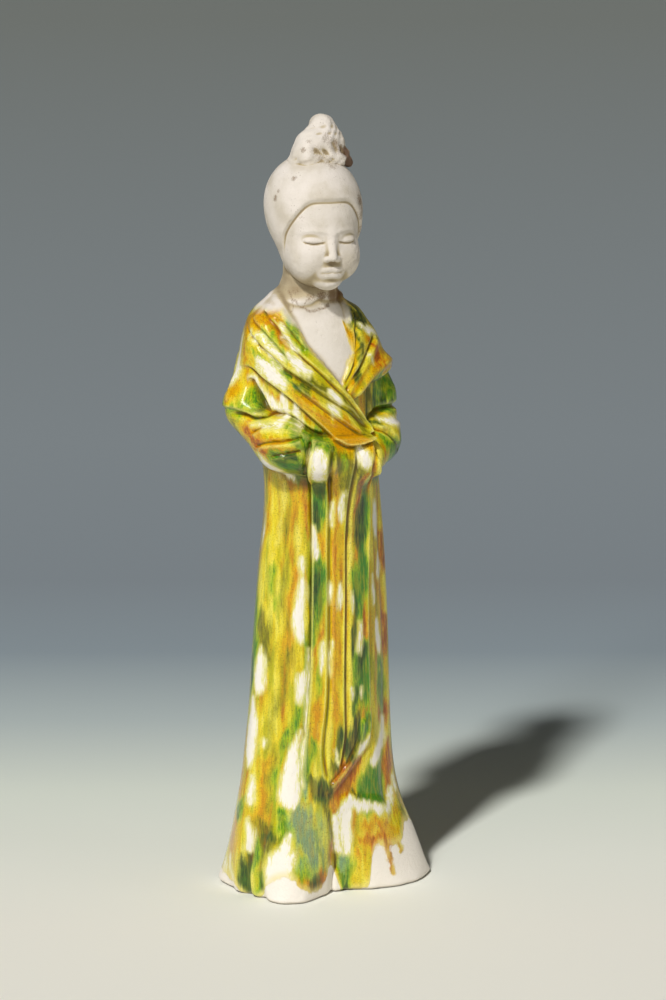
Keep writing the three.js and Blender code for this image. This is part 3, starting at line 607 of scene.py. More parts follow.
# Strands wind over the front of the topknot and low lumps go all round it
def toTopknot(points):
    first, *others = topknot["lumps"]
    distance = addLumps(toLump(points, first), points, points, others, topknot["join"])
    x, y, z = (points - topknot["middle"]).T
    (acrossAt, upAt), (acrossReach, upReach) = topknot["strandAt"], topknot["strandReach"]
    strands = np.sin(1.5 * x + 1.3 * z + 2.2 * np.sin(0.33 * x + 0.3 * y + 0.4 * z))
    strands *= smoothStep(*topknot["strandFade"], y)
    strands *= bell(x - acrossAt, acrossReach) * bell(z - upAt, upReach)
    lumpy = np.sin(0.6 * x - 0.9 * z + 2 * np.sin(0.5 * z)) * np.sin(0.7 * y + 0.6 * x + 0.5)
    return distance + topknot["strandDepth"] * (strands + lumpy)


# Skins: rings of points found by walking rays in from outside until they meet the form

def walkIn(distanceTo, origins, directions, proud):
    reach = np.full(len(origins), float(rays["start"]))
    for _ in range(rays["steps"]):
        reach -= rays["share"] * (distanceTo(origins + directions * reach[:, None]) - proud)
    return origins + directions * reach[:, None]


def gownSkin():
    levels, columns = spaced(gown["rings"]), spaced(gown["columns"])
    angle, height = (grid.ravel() for grid in np.meshgrid(np.radians((columns + 180) % 360 - 180), levels))
    middle = fromTable(gown["profile"], height, 1)
    origins = np.stack([middle, 0 * middle, height], 1)
    directions = np.stack([np.sin(angle), -np.cos(angle), 0 * angle], 1)
    points = walkIn(toGown, origins, directions, drapery(angle, height))
    ends = [(0, 0, 0), (fromTable(gown["profile"], levels[-1], 1), 0, levels[-1])]
    return np.vstack([points, ends]), len(levels), len(columns)


def ballSkin(distanceTo, middle, rings, columns, relief=None):
    levels, around = np.radians(spaced(rings)), np.radians(spaced(columns))
    angle, up = (grid.ravel() for grid in np.meshgrid(around, levels))
    angle, up = np.append(angle, (0, 0)), np.append(up, (-pi / 2, pi / 2))
    directions = np.stack([np.sin(angle) * np.cos(up), -np.cos(angle) * np.cos(up), np.sin(up)], 1)
    proud = relief(directions) if relief else 0
    points = walkIn(distanceTo, np.tile(np.array(middle, float), (len(angle), 1)), directions, proud)
    return points, len(levels), len(around)


def skinObject(name, points, rows, columns):
    at = np.arange(rows * columns).reshape(rows, columns)
    right = np.roll(at, -1, 1)
    faces = np.stack([at[:-1], right[:-1], right[1:], at[1:]], -1).reshape(-1, 4).tolist()
    bottom, top = rows * columns, rows * columns + 1
    faces += [(bottom, b, a) for a, b in zip(at[0].tolist(), right[0].tolist())]
    faces += [(top, a, b) for a, b in zip(at[-1].tolist(), right[-1].tolist())]
    mesh = bpy.data.meshes.new(name)
    mesh.from_pydata((points * part).tolist(), [], faces)
    made = bpy.data.objects.new(name, mesh)
    bpy.context.scene.collection.objects.link(made)
    return made


def addModelled(target, other):
    union = target.modifiers.new("union", "BOOLEAN")
    union.operation, union.solver, union.object = "UNION", "MANIFOLD", other
    evaluated = target.evaluated_get(bpy.context.evaluated_depsgraph_get())
    joined = bpy.data.meshes.new_from_object(evaluated)
    target.modifiers.clear()
    target.data = joined
    bpy.data.objects.remove(other)


headTurn = np.array(Euler([radians(a) for a in head["tilt"]], "YXZ").to_matrix())
figure = skinObject("figureSkin", *gownSkin())
print("gown and shawl drawn")
headPoints, rows, columns = ballSkin(toHead, (0, 0, 0), head["rings"], head["columns"], hairRelief)
addModelled(figure, skinObject("headSkin", headPoints @ headTurn.T + head["middle"], rows, columns))
knotSkin = ballSkin(toTopknot, topknot["middle"], topknot["rings"], topknot["columns"])
addModelled(figure, skinObject("knotSkin", *knotSkin))
mesh = figure.data
mesh.shade_smooth()
mesh.set_sharp_from_angle(angle=radians(sharpFrom))
print("head and topknot joined on,", sum(len(p.vertices) - 2 for p in mesh.polygons), "triangles")

# Glaze, brushed on and run down. A stroke is a line of (degrees, height, half width in degrees).
glaze = {
    "cream": [
        # right arm and shoulder
        [(-102, 262, 2), (-100, 254, 3), (-98, 246, 3), (-99, 240, 2)],
        [(-84, 263, 2), (-79, 261.5, 2.5)], [(-56, 268, 1), (-47, 261.5, 2), (-38, 256, 1.2)],
        [(-76, 264, 1), (-68, 260.5, 2.2), (-58, 255.5, 2.2), (-50, 252, 1.2)],
        [(-72, 258, 0.9), (-62, 253.6, 1.4), (-54, 250, 1)],
        [(-74, 252.5, 2), (-66, 248, 5), (-58, 243.5, 4.5), (-52, 241, 2)],
        [(-46, 255, 1.8), (-38, 250.5, 3.6), (-28, 246, 1.8)],
        [(-8, 238, 2), (-1, 234, 3.4), (5, 231, 1.6)], [(-9, 231, 1.6), (-4, 228.5, 2.8), (1, 226, 1)],
        [(-82, 243, 1.5), (-76, 239, 2.5), (-72, 236, 1.5)],
        [(-69, 234, 2.4), (-64, 232, 3.6), (-59, 229, 2.4)],
        [(-56, 236, 1.5), (-54, 228, 3), (-53, 223, 1.5)],
        [(-74, 222.5, 0.8), (-64, 223.5, 1.4), (-54, 223, 1)],
        [(-46, 231, 2), (-44, 226, 2.6), (-40, 222.5, 1.2)],
        [(-66, 209, 2), (-62, 205, 4.5), (-58, 201, 4.5), (-52, 197, 2)],
        # left shoulder and cuff
        [(60, 264, 2), (70, 261.5, 2.8), (78, 259, 1.6)], [(54, 251, 1.2), (53, 248.5, 1.6)],
        [(56, 220.5, 2), (63, 219, 3.2), (72, 217.5, 5.4), (86, 216, 5.6)],
        # streamers
        [(-25.5, 211, 4.4), (-25.5, 206, 5.6), (-25.5, 201.5, 5.4)],
        [(16, 211, 3), (17.5, 207.5, 4.4), (17.5, 204, 3.6)],
        [(-14, 187, 1.4), (-14, 181, 2.2), (-13.5, 176, 1.4)],
        [(-2, 190, 1.6), (-4, 184, 3), (-4, 178, 2.5)],
        [(-35, 174, 2), (-34, 169, 3.2), (-32, 163, 3.5), (-31, 160, 1.5)],
        [(-14, 149, 1), (-14, 144, 1.9), (-13.5, 139, 1)],
        [(-3, 148, 1.2), (-3, 143, 2.3), (-3, 137, 1.4)], [(12, 143, 0.8), (12, 139, 1.8), (12, 134, 1)],
        [(21, 129, 1.2), (21, 122, 2.2), (21, 115, 1.8)],
        [(-22, 121, 1.6), (-22, 114, 2.7), (-22.5, 107, 1.6)],
        [(-12.5, 121, 1.2), (-13, 114, 1.9), (-13, 105, 1.2)], [(23, 98, 1.2), (23, 94, 1.8)],
        [(12, 98, 1), (12.5, 94, 1.4)], [(36, 74, 2), (30, 70.5, 3), (20, 67, 1.6)],
        [(-6, 70, 0.5), (-2, 66.5, 0.6)], [(-4, 65.5, 0.5), (0, 63, 0.5)],
        # right side of the skirt
        [(54, 182, 3), (54, 175, 6), (54, 169, 5)], [(58, 157, 2), (58, 152, 4), (57, 147, 3)],
        [(45, 149, 1), (45, 141, 1.4), (45, 136, 0.8)], [(50, 127, 1.6), (53, 119, 4), (55, 114, 3.4)],
        [(59, 79, 3), (56, 71, 6), (49, 65, 5), (42, 61, 3)], [(68, 50, 1.5), (68, 44, 2)],
        # left side of the skirt
        [(-92, 178, 1), (-91, 170, 2), (-92, 163, 1)],
        [(-44, 161, 1.6), (-43.5, 157, 2.3), (-43, 154, 1)],
        [(-36.3, 118, 0.3), (-36.4, 92, 0.5), (-38.4, 68, 0.6), (-39, 54, 0.4)],
        [(-43, 152.5, 1.6), (-44, 146, 3.4), (-45, 139, 4.1), (-46, 132, 4.4), (-45, 126, 4),
         (-44, 122, 1.8)], [(-79, 118, 1), (-80, 111, 4), (-80, 104, 5), (-78, 98, 3.5)],
        [(-42, 105, 3), (-42, 99, 4), (-43, 93, 2)],
        [(-88, 93, 2), (-86, 87, 4), (-85, 78, 5.5), (-84, 68, 5.5), (-83, 62, 3)],
        [(-73, 75, 1.2), (-73, 72, 1.2)],
        [(-42, 80, 1.2), (-44, 74, 2.6), (-46.5, 66, 5), (-48.5, 58, 6.8), (-49, 51, 7.4),
         (-48, 48, 6.6)],
        # hem
        [(-80, 57, 1.4), (-79, 50, 3), (-79, 45, 2.2)], [(-79, 37, 0.8), (-77.5, 30, 2), (-79, 23, 2.2)],
        [(-98, 16, 1), (-97, 10, 2), (-95, 5, 2)], [(-108, 13, 2), (-107, 7, 3)],
        [(-48, 31, 1.4), (-51, 25, 4.4), (-54, 18, 8), (-55, 10, 10.5)],
        [(2, 40, 4), (12, 44, 5), (22, 41.5, 3.8)], [(-4, 37, 3.6), (-4, 28, 4), (-3, 22, 3.4)],
        [(1.5, 38, 2.6), (1.5, 24, 2.4)], [(7, 38, 5.6), (7, 28, 5.4), (6, 21, 4.4)],
        [(20, 42.5, 4), (30, 41, 3.4)], [(36, 39.6, 3), (44, 38, 3.6)],
        [(51, 37.6, 3.4), (57, 40.4, 3.2), (62, 45, 2.4)],
    ],
    "green": [
        [(-51, 272, 1.6), (-42, 264.5, 3), (-35, 259, 2.6), (-29, 255.5, 1.4)],
        [(-70, 265, 1.2), (-60, 260, 1.9), (-48, 253.6, 1.6)],
        [(-78, 256, 1.4), (-68, 251.6, 2.2), (-58, 247.6, 2), (-46, 243, 1.4), (-36, 239, 1)],
        [(-100, 231, 1.6), (-94, 230, 2), (-86, 229.5, 1.6)],
        [(-82, 236, 2), (-79, 231, 2.6), (-76, 228, 1.4)],
        [(-46, 224, 1.5), (-40, 220.5, 3.4), (-30, 217, 4.8), (-20, 215, 3.8), (-14, 213, 2)],
        [(-57, 212.5, 1.5), (-50, 207, 6), (-44, 203, 6), (-38, 209, 3)],
        [(60, 240, 3), (70, 238.5, 4), (82, 237, 3.6)], [(63, 232.5, 3.4), (74, 232, 4), (86, 231, 3.6)],
        [(62, 226.5, 2.6), (74, 226, 3.4)], [(46, 214, 3), (56, 208, 7), (66, 203, 8), (56, 200, 6)],
        [(-3, 209, 1), (-2, 203, 1.2)], [(-27, 197, 4), (-27.5, 190, 6), (-28, 183, 6.4), (-28, 179, 5)],
        [(28, 194, 3), (29, 184, 5.4), (28, 174, 5), (26, 168, 3)],
        [(-30, 161, 3), (-27, 153, 6.4), (-26, 145, 6.8), (-26, 138, 5.4), (-28, 133, 4)],
        [(26, 161, 5), (25, 154, 7), (24, 146, 7.4), (22, 139, 5), (20, 134, 3)],
        [(-31, 133, 1.5), (-30, 124, 2.6)], [(28, 117, 4), (26, 108, 9), (24, 99, 8), (20, 93, 5)],
        [(-26, 111, 2), (-26, 104, 2.8), (-26, 98, 1.5)],
        [(57, 110, 3), (57, 102, 5), (58, 94, 5), (58, 88, 3)], [(33, 84, 3), (30, 79, 5), (28, 74, 3)],
        [(50, 62, 4), (44, 56, 8.5), (38, 50, 11), (29, 47, 6)], [(50, 52, 4), (48, 46, 4)],
        [(-30, 74, 2), (-31, 66, 3), (-32, 58, 2.5)],
        [(-38, 125, 0.8), (-37.5, 110, 0.9), (-37.5, 95, 0.9), (-38.5, 80, 1), (-39.5, 65, 1),
         (-40, 50, 1.2)], [(-96, 152, 1.6), (-96, 138, 2.4), (-96, 120, 3)],
        [(-90, 140, 1.5), (-90, 130, 3), (-89.5, 120, 4), (-90, 108, 4), (-91, 98, 4), (-93, 92, 2)],
        [(-71, 156, 0.8), (-71.5, 146, 1.2), (-71, 136, 0.8)], [(-44, 92, 2), (-46, 87, 4), (-46, 81, 3)],
        [(-50, 80, 2), (-54, 75, 3), (-57, 68, 1.8), (-59.5, 58, 1.2), (-60.5, 48, 1.2)],
        [(-84, 45, 2), (-89, 41, 4), (-93, 39, 3)],
        [(-73, 23, 2), (-77, 15, 3), (-79, 7, 3.6), (-76, 0, 3.4)], [(-70, 10, 2), (-69, 3, 2.6)],
        [(-56, 43, 3), (-52, 36, 4), (-50, 30, 2.6)], [(-37, 19, 3), (-37, 12, 3)],
        [(3, 19, 4), (4, 12, 5.4), (5, 5, 5), (6, -1, 4)],
        [(78, 72, 4), (79, 58, 5), (80, 45, 5), (81, 36, 3)],
    ],
    "deep": [
        [(-77, 234.5, 1.2), (-73, 229, 1.3)], [(-36, 213.5, 1), (-26, 213.2, 1)],
        [(-52, 208.5, 0.8), (-42, 209.5, 1.2)], [(-38, 206, 1.2), (-40.5, 199, 1.6)],
        [(-52, 246.5, 0.7), (-38, 241.5, 1), (-28, 238.5, 0.8)],
        # the next stroke lays deep green over the left shoulder's own dark glaze and also stands for the
        # head's cast shadow there: painted shadow
        [(40, 277, 3.4), (50, 273, 5), (60, 269.5, 5), (68, 266, 3)],
        [(49, 268, 2), (47, 261, 1.3), (43, 253, 1.2), (36, 246, 1.1), (28, 239, 0.9)],
        [(68, 229.5, 0.8), (76, 227, 0.8)], [(-13.5, 212, 0.9), (-15.6, 203, 1), (-16, 192, 0.9)],
        [(60, 237, 0.9), (61, 228, 1)], [(58, 209, 2), (64, 204, 3)],
        [(46, 235, 2.4), (45.5, 228, 2.4), (45, 222, 1.8)],
        [(-28, 186, 1.4), (-28.5, 178, 2.2), (-29, 174, 2)],
        [(24, 186, 2), (22, 178, 4), (21, 170, 4.6), (21, 166, 3)],
        [(-29, 152, 1.2), (-28, 146, 2), (-30, 140, 1.2)],
        [(-34.6, 150, 0.5), (-34.2, 110, 0.6), (-35.4, 78, 0.7), (-37, 56, 0.7)],
        [(18, 142, 1.4), (16, 134, 2), (15, 125, 2.2), (15, 116, 2)],
        [(26, 117, 2), (24, 111, 3), (22, 105, 2)], [(16, 96, 2), (17, 92, 2)],
        [(19, 84, 2), (17, 78, 5), (13, 72, 5.4), (10, 68, 2)], [(1, 78, 1.4), (0, 70, 2), (-1, 63, 1.8)],
        [(-15, 56, 2), (-13, 51, 3), (-8, 50, 2)], [(-30, 56, 3), (-23, 51, 4.6), (-15, 48.5, 3.6)],
        [(-92, 110, 1.6), (-92, 100, 2.4), (-93, 94, 1.6)], [(-93, 38, 1.6), (-90, 38, 1)],
        [(-79, 24, 0.8), (-81, 13, 1.8), (-82, 6, 2.4), (-79, -1, 2.6)],
        [(-27, 33, 0.8), (-24, 23, 0.9), (-21, 13, 0.8)], [(-32, 11, 1.2), (-31.5, 6, 1.6)],
        [(6, 3, 2), (7, -1, 3)], [(-64, 30, 1), (-58, 31, 1)], [(80, 66, 2), (81, 52, 3), (82, 42, 2)],
        [(22, 47, 2), (17, 50, 1.5)],
    ],
    "amber": [
        [(-104, 268, 4), (-92, 270, 5.4), (-80, 271.5, 5), (-68, 272, 4), (-59, 271.5, 3)],
        [(-97, 268, 3), (-92, 262, 2.6), (-89, 256, 2.2), (-86, 248, 2.4), (-84, 242, 2)],
        [(-96, 240, 2), (-93, 234, 3.4)], [(-44, 240, 3), (-34, 235, 4), (-24, 231, 4)],
        [(-20, 226, 5), (-10, 222, 8), (2, 219, 9), (12, 216.5, 8), (22, 215, 5)],
        [(43, 267, 2), (41.5, 261, 2.6), (39, 256.5, 1.4)],
        [(35, 252, 1.2), (29, 246, 1.3), (23.5, 241, 1)],
        [(60, 259, 3), (66, 254, 5), (60, 248, 4), (52, 243, 2)],
        [(32, 235.5, 2), (44, 240.5, 3), (60, 244.5, 3.6), (76, 247, 3.4), (88, 245, 3)],
        [(52, 220, 1.5), (60, 221.5, 2), (70, 222, 2), (78, 222, 2)],
        [(-78, 221, 3), (-66, 218, 4), (-54, 216, 3.4), (-50, 212, 3)],
        [(-67, 236, 2), (-62, 234.5, 3.2), (-57, 235, 1.6)], [(-34, 200, 1.8), (-35, 192, 1)],
        [(-12, 201, 2), (-10, 196, 3), (-9, 185, 2.6), (-9, 170, 4), (-10, 155, 4), (-9.5, 145, 2.6),
         (-9, 130, 3.6), (-8, 115, 3), (-8, 100, 3), (-8, 84, 2.5)],
        [(-47, 196, 1.4), (-45, 186, 1.5), (-44, 176, 0.8)],
        [(-84, 199, 2.4), (-83, 188, 2.2), (-84.5, 178, 2), (-87, 166, 1.4)],
        [(-51, 153, 2), (-54, 142, 3.4), (-56, 132, 3.4), (-55, 120, 3), (-52, 108, 2)],
        [(-25, 175, 2.5), (-25, 168, 3.2), (-26, 160, 2)], [(60, 141, 4), (62, 133, 5), (62, 125, 4)],
        [(-25, 96, 3.5), (-25, 86, 4.6), (-26, 77, 4)], [(20, 92, 3), (27, 88, 6), (28, 83, 4)],
        [(16, 57, 4), (12, 61, 3)], [(-68, 66, 3), (-70, 50, 3.4), (-71, 36, 3)],
        [(-95, 58, 3), (-95, 50, 3.4)], [(-95, 36, 4), (-96, 28, 5), (-97, 20, 5), (-100, 13, 3)],
        [(22, 33, 2), (31, 32, 3.4), (42, 31, 3.6), (52, 29, 3)],
        [(20, 26, 2.6), (29, 25, 3), (40, 25, 2.6), (51, 24, 1.6)], [(18.5, 18, 2.6), (18, 10, 2)],
        [(-43, 11, 2), (-37, 8, 3.4), (-29, 8.5, 4.4), (-23, 12, 3.2)],
    ],
    "rust": [
        [(-66, 269, 0.8), (-56, 264, 0.9), (-46, 258.5, 0.8)],
        [(-77, 218, 1.2), (-70, 215, 2), (-61, 212.4, 2.6), (-51, 211, 1.5)],
        [(-65, 236, 1), (-61, 235, 1.8)], [(64, 257, 1.4), (67, 253, 2.6), (60, 247.5, 2)],
        [(84, 241, 3)], [(-50, 199, 2), (-43, 197, 3.4), (-38.5, 199, 2.4)],
        [(20, 197, 2), (18, 188, 2.4), (17, 181, 1.8)],
        [(-43, 199, 1.5), (-42, 190, 1.8), (-42, 180, 1.2), (-42, 168, 0.7)],
        [(24, 166, 2), (21, 162, 4), (19, 158, 2.5)], [(-10, 164, 1.4), (-9.5, 156, 1.4)],
        [(66, 168, 3), (67, 160, 4), (67, 152, 2.5)],
        [(27, 138, 2), (28, 130, 3), (27, 122, 2.5), (27, 115, 1.5)],
        [(-22, 134, 1.5), (-24, 127, 2.3), (-26, 119, 2), (-28, 112, 1)],
        [(66, 127, 3), (67, 119, 3), (66, 112, 2)], [(30, 88, 2.4), (30, 84, 2)],
        [(60, 89, 3), (60, 82, 6), (56, 76, 3)], [(64, 68, 2), (63, 58, 3), (61, 48, 3), (57, 42, 2.4)],
        [(24, 63, 1.6), (14, 59, 3.6), (6, 54, 4.6), (-4, 50, 4.4)],
        [(20, 66, 2), (8, 61, 4), (0, 57, 4.2), (-10, 52, 3.4)],
        [(-8, 47, 2), (-5, 43, 2.4), (-4, 39, 1.4)], [(-113, 10, 1.8), (-112, 6, 1.5)],
        [(-13, 24, 1.5), (-14, 17, 2), (-15, 11, 1.5)],
        [(-40, 9.6, 1.2), (-32, 8.6, 2), (-26, 10, 2.6), (-22, 15, 1.6)],
        [(38, 31, 0.8), (41, 24, 1.4), (42.4, 15, 1.6), (42.7, 8, 2)], [(52, 21, 1.2), (52.5, 17, 1.4)],
        [(28, 27, 1.4), (35, 24, 1.2)],
    ],
    "olive": [
        [(10, 233, 3), (18, 229, 4), (26, 223.5, 4), (32, 219, 2)],
        [(50, 239, 3), (55, 231, 4.4), (52, 223, 3)], [(-40, 246, 1.6), (-24, 241, 2.6), (-10, 240, 3)],
        [(72, 272, 4), (62, 268, 3)], [(-92, 226, 2), (-90, 220, 2.4), (-86, 214, 2)],
        [(-10, 210, 3), (-6, 205, 4)], [(0, 209, 4), (1, 200, 4.4), (2, 188, 3), (3, 176, 2)],
        [(13, 208, 2.4), (14, 200, 4), (15, 193, 3)], [(-90, 198, 2), (-91, 186, 2)],
        [(-80, 130, 5), (-77, 120, 5), (-74, 112, 3)],
        [(-53, 118, 1.5), (-55, 107, 2), (-60, 96, 1.4), (-66, 84, 1.2), (-70, 72, 1.2)],
        [(-64, 72, 1.4), (-63.5, 60, 1.6), (-64, 44, 1.8)], [(-68, 34, 3.6), (-62, 31, 5), (-67, 24, 4)],
        [(-20, 46, 3.4), (-14, 40, 3.4), (-12, 32, 2.8), (-12, 24, 2)],
        [(3, 80, 3), (3, 70, 3.6), (-9, 62, 3)], [(68, 38, 1), (67, 28, 1.2), (65, 20, 1)],
        [(-60, 190, 1), (-62, 160, 1), (-58, 130, 1)],
    ],
    "pale": [
        [(-70, 198, 3), (-66, 190, 4), (-68, 180, 3), (-74, 170, 3), (-75, 162, 2)],
        [(-49, 177, 2), (-48, 168, 2.8), (-48, 160, 1.6)], [(-80, 134, 2), (-79, 127, 2)],
        [(9, 196, 1.4), (9, 170, 2), (8.5, 140, 1.6), (8.5, 100, 1.8), (8.5, 80, 1.8), (6, 64, 1.6)],
        [(-13.5, 200, 1.6), (-13.5, 160, 1.4), (-13.5, 130, 1.4), (-13.5, 100, 1.6), (-14, 74, 1.6)],
        [(-20.5, 198, 1), (-20.5, 184, 1.2)],
        [(-34, 150, 1), (-33.5, 120, 1.2), (-34, 92, 1.4), (-36, 70, 1.6), (-36, 50, 1.8)],
        [(-61.5, 70, 1.4), (-61, 58, 1.4)], [(50, 240, 1.4), (62, 243.5, 1.4), (74, 246, 1.2)],
        [(50, 262, 2), (47, 252, 1.8), (40, 245, 1.4), (34, 240, 1.2)], [(-92, 252, 3), (-92, 244, 3)],
        [(-30, 247, 2), (-18, 240, 2.6), (-6, 233, 2)], [(-74, 264, 3), (-62, 258, 4.4), (-48, 251, 4)],
        [(6, 233, 2), (13, 230, 2), (18, 227, 1.6)], [(-68, 17, 3), (-70, 9, 3), (-70, 4, 2)],
        [(-46, 12, 1.6), (-41, 6.5, 2.2), (-36, 5, 1.6)], [(17, 14, 2.6), (19, 8, 3), (22, 2, 3)],
        [(24, 30, 3), (34, 28, 4), (46, 27, 4)], [(24, 36.5, 2.4), (36, 35.4, 2.6), (50, 33.6, 2.6)],
        [(46, 9, 2), (44, 5, 2)], [(-1, 34, 0.8), (-1, 26, 0.8)], [(-110, 16, 3), (-104, 8, 3)],
        [(-93, 16, 2), (-92, 6, 2)],
    ],
    "mist": [
        [(-42, 47, 3.4), (-38.5, 39, 6), (-35.5, 30, 7.4), (-34, 23, 5.6), (-36, 18, 3.4)],
        [(-3, 36, 1), (-2, 28, 1.4), (-1, 21, 1.8)],
        [(-26, 40, 2), (-23, 31, 2.6), (-20.5, 22, 2.4), (-18, 13, 1.8)], [(3, 23, 4), (3, 18, 4)],
        [(-36.5, 100, 0.8), (-38, 76, 1), (-38.6, 52, 1.3)],
    ],
    # where the bare clay ends at the foot: degrees, height
    "footLine": [(-180, 7), (-150, 9), (-125, 8), (-110, 6), (-98, 4.5), (-88, 3), (-81, -2), (-74, -2),
                 (-69, 1), (-60, 9), (-50, 12), (-44, 11), (-40, 7), (-34, 4), (-28, 4), (-22, 7),
                 (-17, 13), (-11, 12), (-6, 5), (0, -2), (9, -2), (14, 0), (20, 0), (24, 1), (26, 4),
                 (27.5, 10), (29.5, 17), (32.5, 20.5), (38, 21), (44, 20), (50, 19.5), (56, 20.5), (60, 24),
                 (66, 28), (78, 26), (90, 22), (110, 15), (130, 12), (150, 8), (180, 7)],
    # thin runs over the bare foot
    "drips": [
        [(41, 25, 2.6), (42, 17, 2), (42.5, 10, 2), (42.7, 7, 2.4)],
        [(52, 25, 3), (53, 19, 2.2), (53.5, 16.5, 2.2)], [(-84, 6, 2), (-84, 1, 2)],
    ],
    # bare above this line, and within the opening of the shawl but for its edge
    "neckLine": [(-180, 279), (-130, 277), (-115, 274.5), (-85, 275), (-62, 275.5), (-50, 278), (-35, 285),
                 (40, 285), (60, 279), (90, 278), (180, 279)],
    "besideChest": 11,  # how many points of the shawl's front line run beside the opening
    "shawlEdge": 0.9,
    "amberOver": 200,  # above this height, amber on the left goes over bare clay
    "headFrom": 283,
    # how a glaze spreads beyond its strokes: sway and sag of its outline, the share and the width by
    # which it swells, and the share that a distance below a stroke counts for
    "runny": (0.8, 2.2, 1.4, 0.3, 0.55),
    "stiff": (0.4, 0.6, 1.1, 0.3, 0.8),
    "reach": 5,  # how far from a stroke's edge its distance is kept
    # waves over the unrolled gown: height, turn to a part across and up, phase
    "sway": [(1, 0.3, 0.21, 0), (0.6, -0.5, 0.47, 2)],
    "sag": [(0.6, 0.43, 0.07, 0), (0.5, 1.1, 0.05, 1), (0.3, 2.3, 0, 4)],
}

# The back: runs of the same glazes, let down by seeded chance from the shawl and the waist
backGlaze = {
    "seed": 7,
    "counts": {"cream": 34, "green": 30, "deep": 12, "amber": 30, "rust": 14, "olive": 14, "pale": 18,
               "mist": 6},
    "between": (105, 250),  # degrees
    "widths": (1.5, 5),
    "fromWaist": (30, 205),  # heights
    "fromShawl": (225, 274),
    "waistShare": 0.75,
    "lengths": (8, 42),
    "onShawl": 0.4,  # share of the length
    "wander": 3,
    "shape": [(0, 0.4), (0.3, 0.9), (0.7, 1), (1, 0.6)],  # share of the length, share of the width
}

# The way the glaze ran: down the skirt, along the pleats of the shawl and along the forearm
ways = {
    "down": (0, 0, 1),
    "rightShawl": (0.8, -0.15, -0.6),
    "leftShawl": (0.72, 0.1, 0.68),
    "forearm": (0.85, -0.3, -0.3),
    "shawlEnds": ((-100, -85), (100, 90)),  # degrees, on the right and on the left
    "forearmHeights": (199, 229),
    "forearmTo": -40,
    "drawnOut": 0.86,
}

# Stains on the bare clay: middle, radius and strength. Those round the foot of the neck and on the head's
# side away from the key light, below the topknot, are painted shade as well as brown earth; the rest are
# stains.
stainsAndShade = [
    ((-15.1, -9.4, 333.2), 2, 0.55), ((-21.7, -3.5, 323.8), 2, 0.6), ((-20.7, -4.5, 327), 1.4, 0.5),
    ((14.6, -15.4, 322.3), 4.2, 0.6), ((15.6, -15, 315.4), 3.6, 0.45), ((12.6, -17, 316), 2.6, 0.35),
    ((-0.3, -3.1, 353.2), 1.5, 0.7), ((-6.1, -6.1, 348.4), 2, 0.5), ((3.8, -4.9, 350.4), 2.4, 0.55),
    ((6.3, -5.9, 347.3), 2.8, 0.6), ((9.6, -5.4, 344.8), 2.4, 0.6), ((-8.5, -5.9, 344.9), 2, 0.6),
    ((13.1, -4.3, 340.8), 4, 1.3), ((15.1, -3.3, 336.9), 4.4, 1.3), ((12.8, -3.8, 342.9), 3.2, 1.2),
    ((2, -8, 350), 4.2, 0.36), ((6, -8, 346), 4.6, 0.42), ((-4, -9, 344), 4.6, 0.36),
    ((9, -7, 342), 4.4, 0.5), ((1, -9, 340), 5, 0.34), ((17.5, -12, 318), 6.5, 0.52),
    ((18.5, -9, 326), 5.5, 0.46), ((17.5, -11, 308), 5, 0.45), ((13, -17, 306), 4, 0.22),
    ((-14, -16, 316), 3, 0.25), ((-8, -11.5, 279), 3, 0.45), ((-2.5, -12.5, 279.5), 3.6, 0.62),
    ((4, -10.5, 279), 4.4, 0.85), ((8, -6, 278), 5, 1), ((9, -5, 284), 4, 0.6), ((-13, -7, 281), 3, 0.4),
    ((-2.3, -9.6, 341), 3.2, 0.4), ((2, -13.1, 337.6), 2.6, 0.4), ((5, -12, 338.4), 2.6, 0.35),
]
stainAndShadeEdges = (1.3, 0.3)  # in radii: where a stain has gone and where it is full

# Cracks in the bed of clay round the neck and small marks on the chest, as strokes
marks = [
    [(-70, 281.5, 0.6), (-58, 280, 0.8), (-50, 278, 0.6), (-42, 277.4, 0.9), (-36, 275, 0.8),
     (-28, 274.6, 1), (-20, 273, 1.2), (-8, 272.8, 1), (4, 273.4, 1.2), (14, 273.6, 0.9), (30, 275, 1.6)],
    [(-50, 278, 0.5), (-46, 274.6, 0.6), (-50, 272.6, 0.4)],
    [(-27, 275, 0.5), (-22, 277.6, 0.6), (-10, 279, 0.8)], [(-29, 254.6, 0.9), (-28, 253.8, 0.8)],
    [(-26, 252.4, 0.8)], [(-23.5, 253, 0.6)], [(-13, 247.4, 0.8), (-10, 246, 0.7)], [(-3, 262, 0.5)],
    [(-7, 268, 0.5)], [(-9, 243.6, 0.9), (-4, 242.4, 0.8)], [(-16, 260, 0.4)],
]
markEdges, markStrength = (-1, 0.4), 0.52

broadRounds, narrowRounds = 30, 6  # rounds of smoothing that show broad hollows, and narrow ones
shortestEdge = 0.05
aboveAll = 400


# How deep each point lies within the widest of some strokes, down to the reach outside them
def withinStrokes(strokes, u, v, swell=1, spread=0, downhill=1):
    reach = glaze["reach"]
    best = np.full(len(u), -float(reach))
    for stroke in strokes:
        run = unrolled(stroke if len(stroke) > 1 else stroke * 2)
        half = run[:, 2] * radians(1) * unroll * swell + spread
        across = u if run[:, 0].mean() < turn / 3 else u % turn
        near = nearRun(run, across, v, reach + half.max())
        for start, end, a, b in zip(run[:-1, :2], run[1:, :2], half[:-1], half[1:]):
            t, offU, offV = offPiece(start, end, across[near], v[near])
            offV *= np.where(offV < 0, downhill, 1)
            best[near] = np.maximum(best[near], a + (b - a) * t - np.hypot(offU, offV))
    return np.minimum(best, reach)


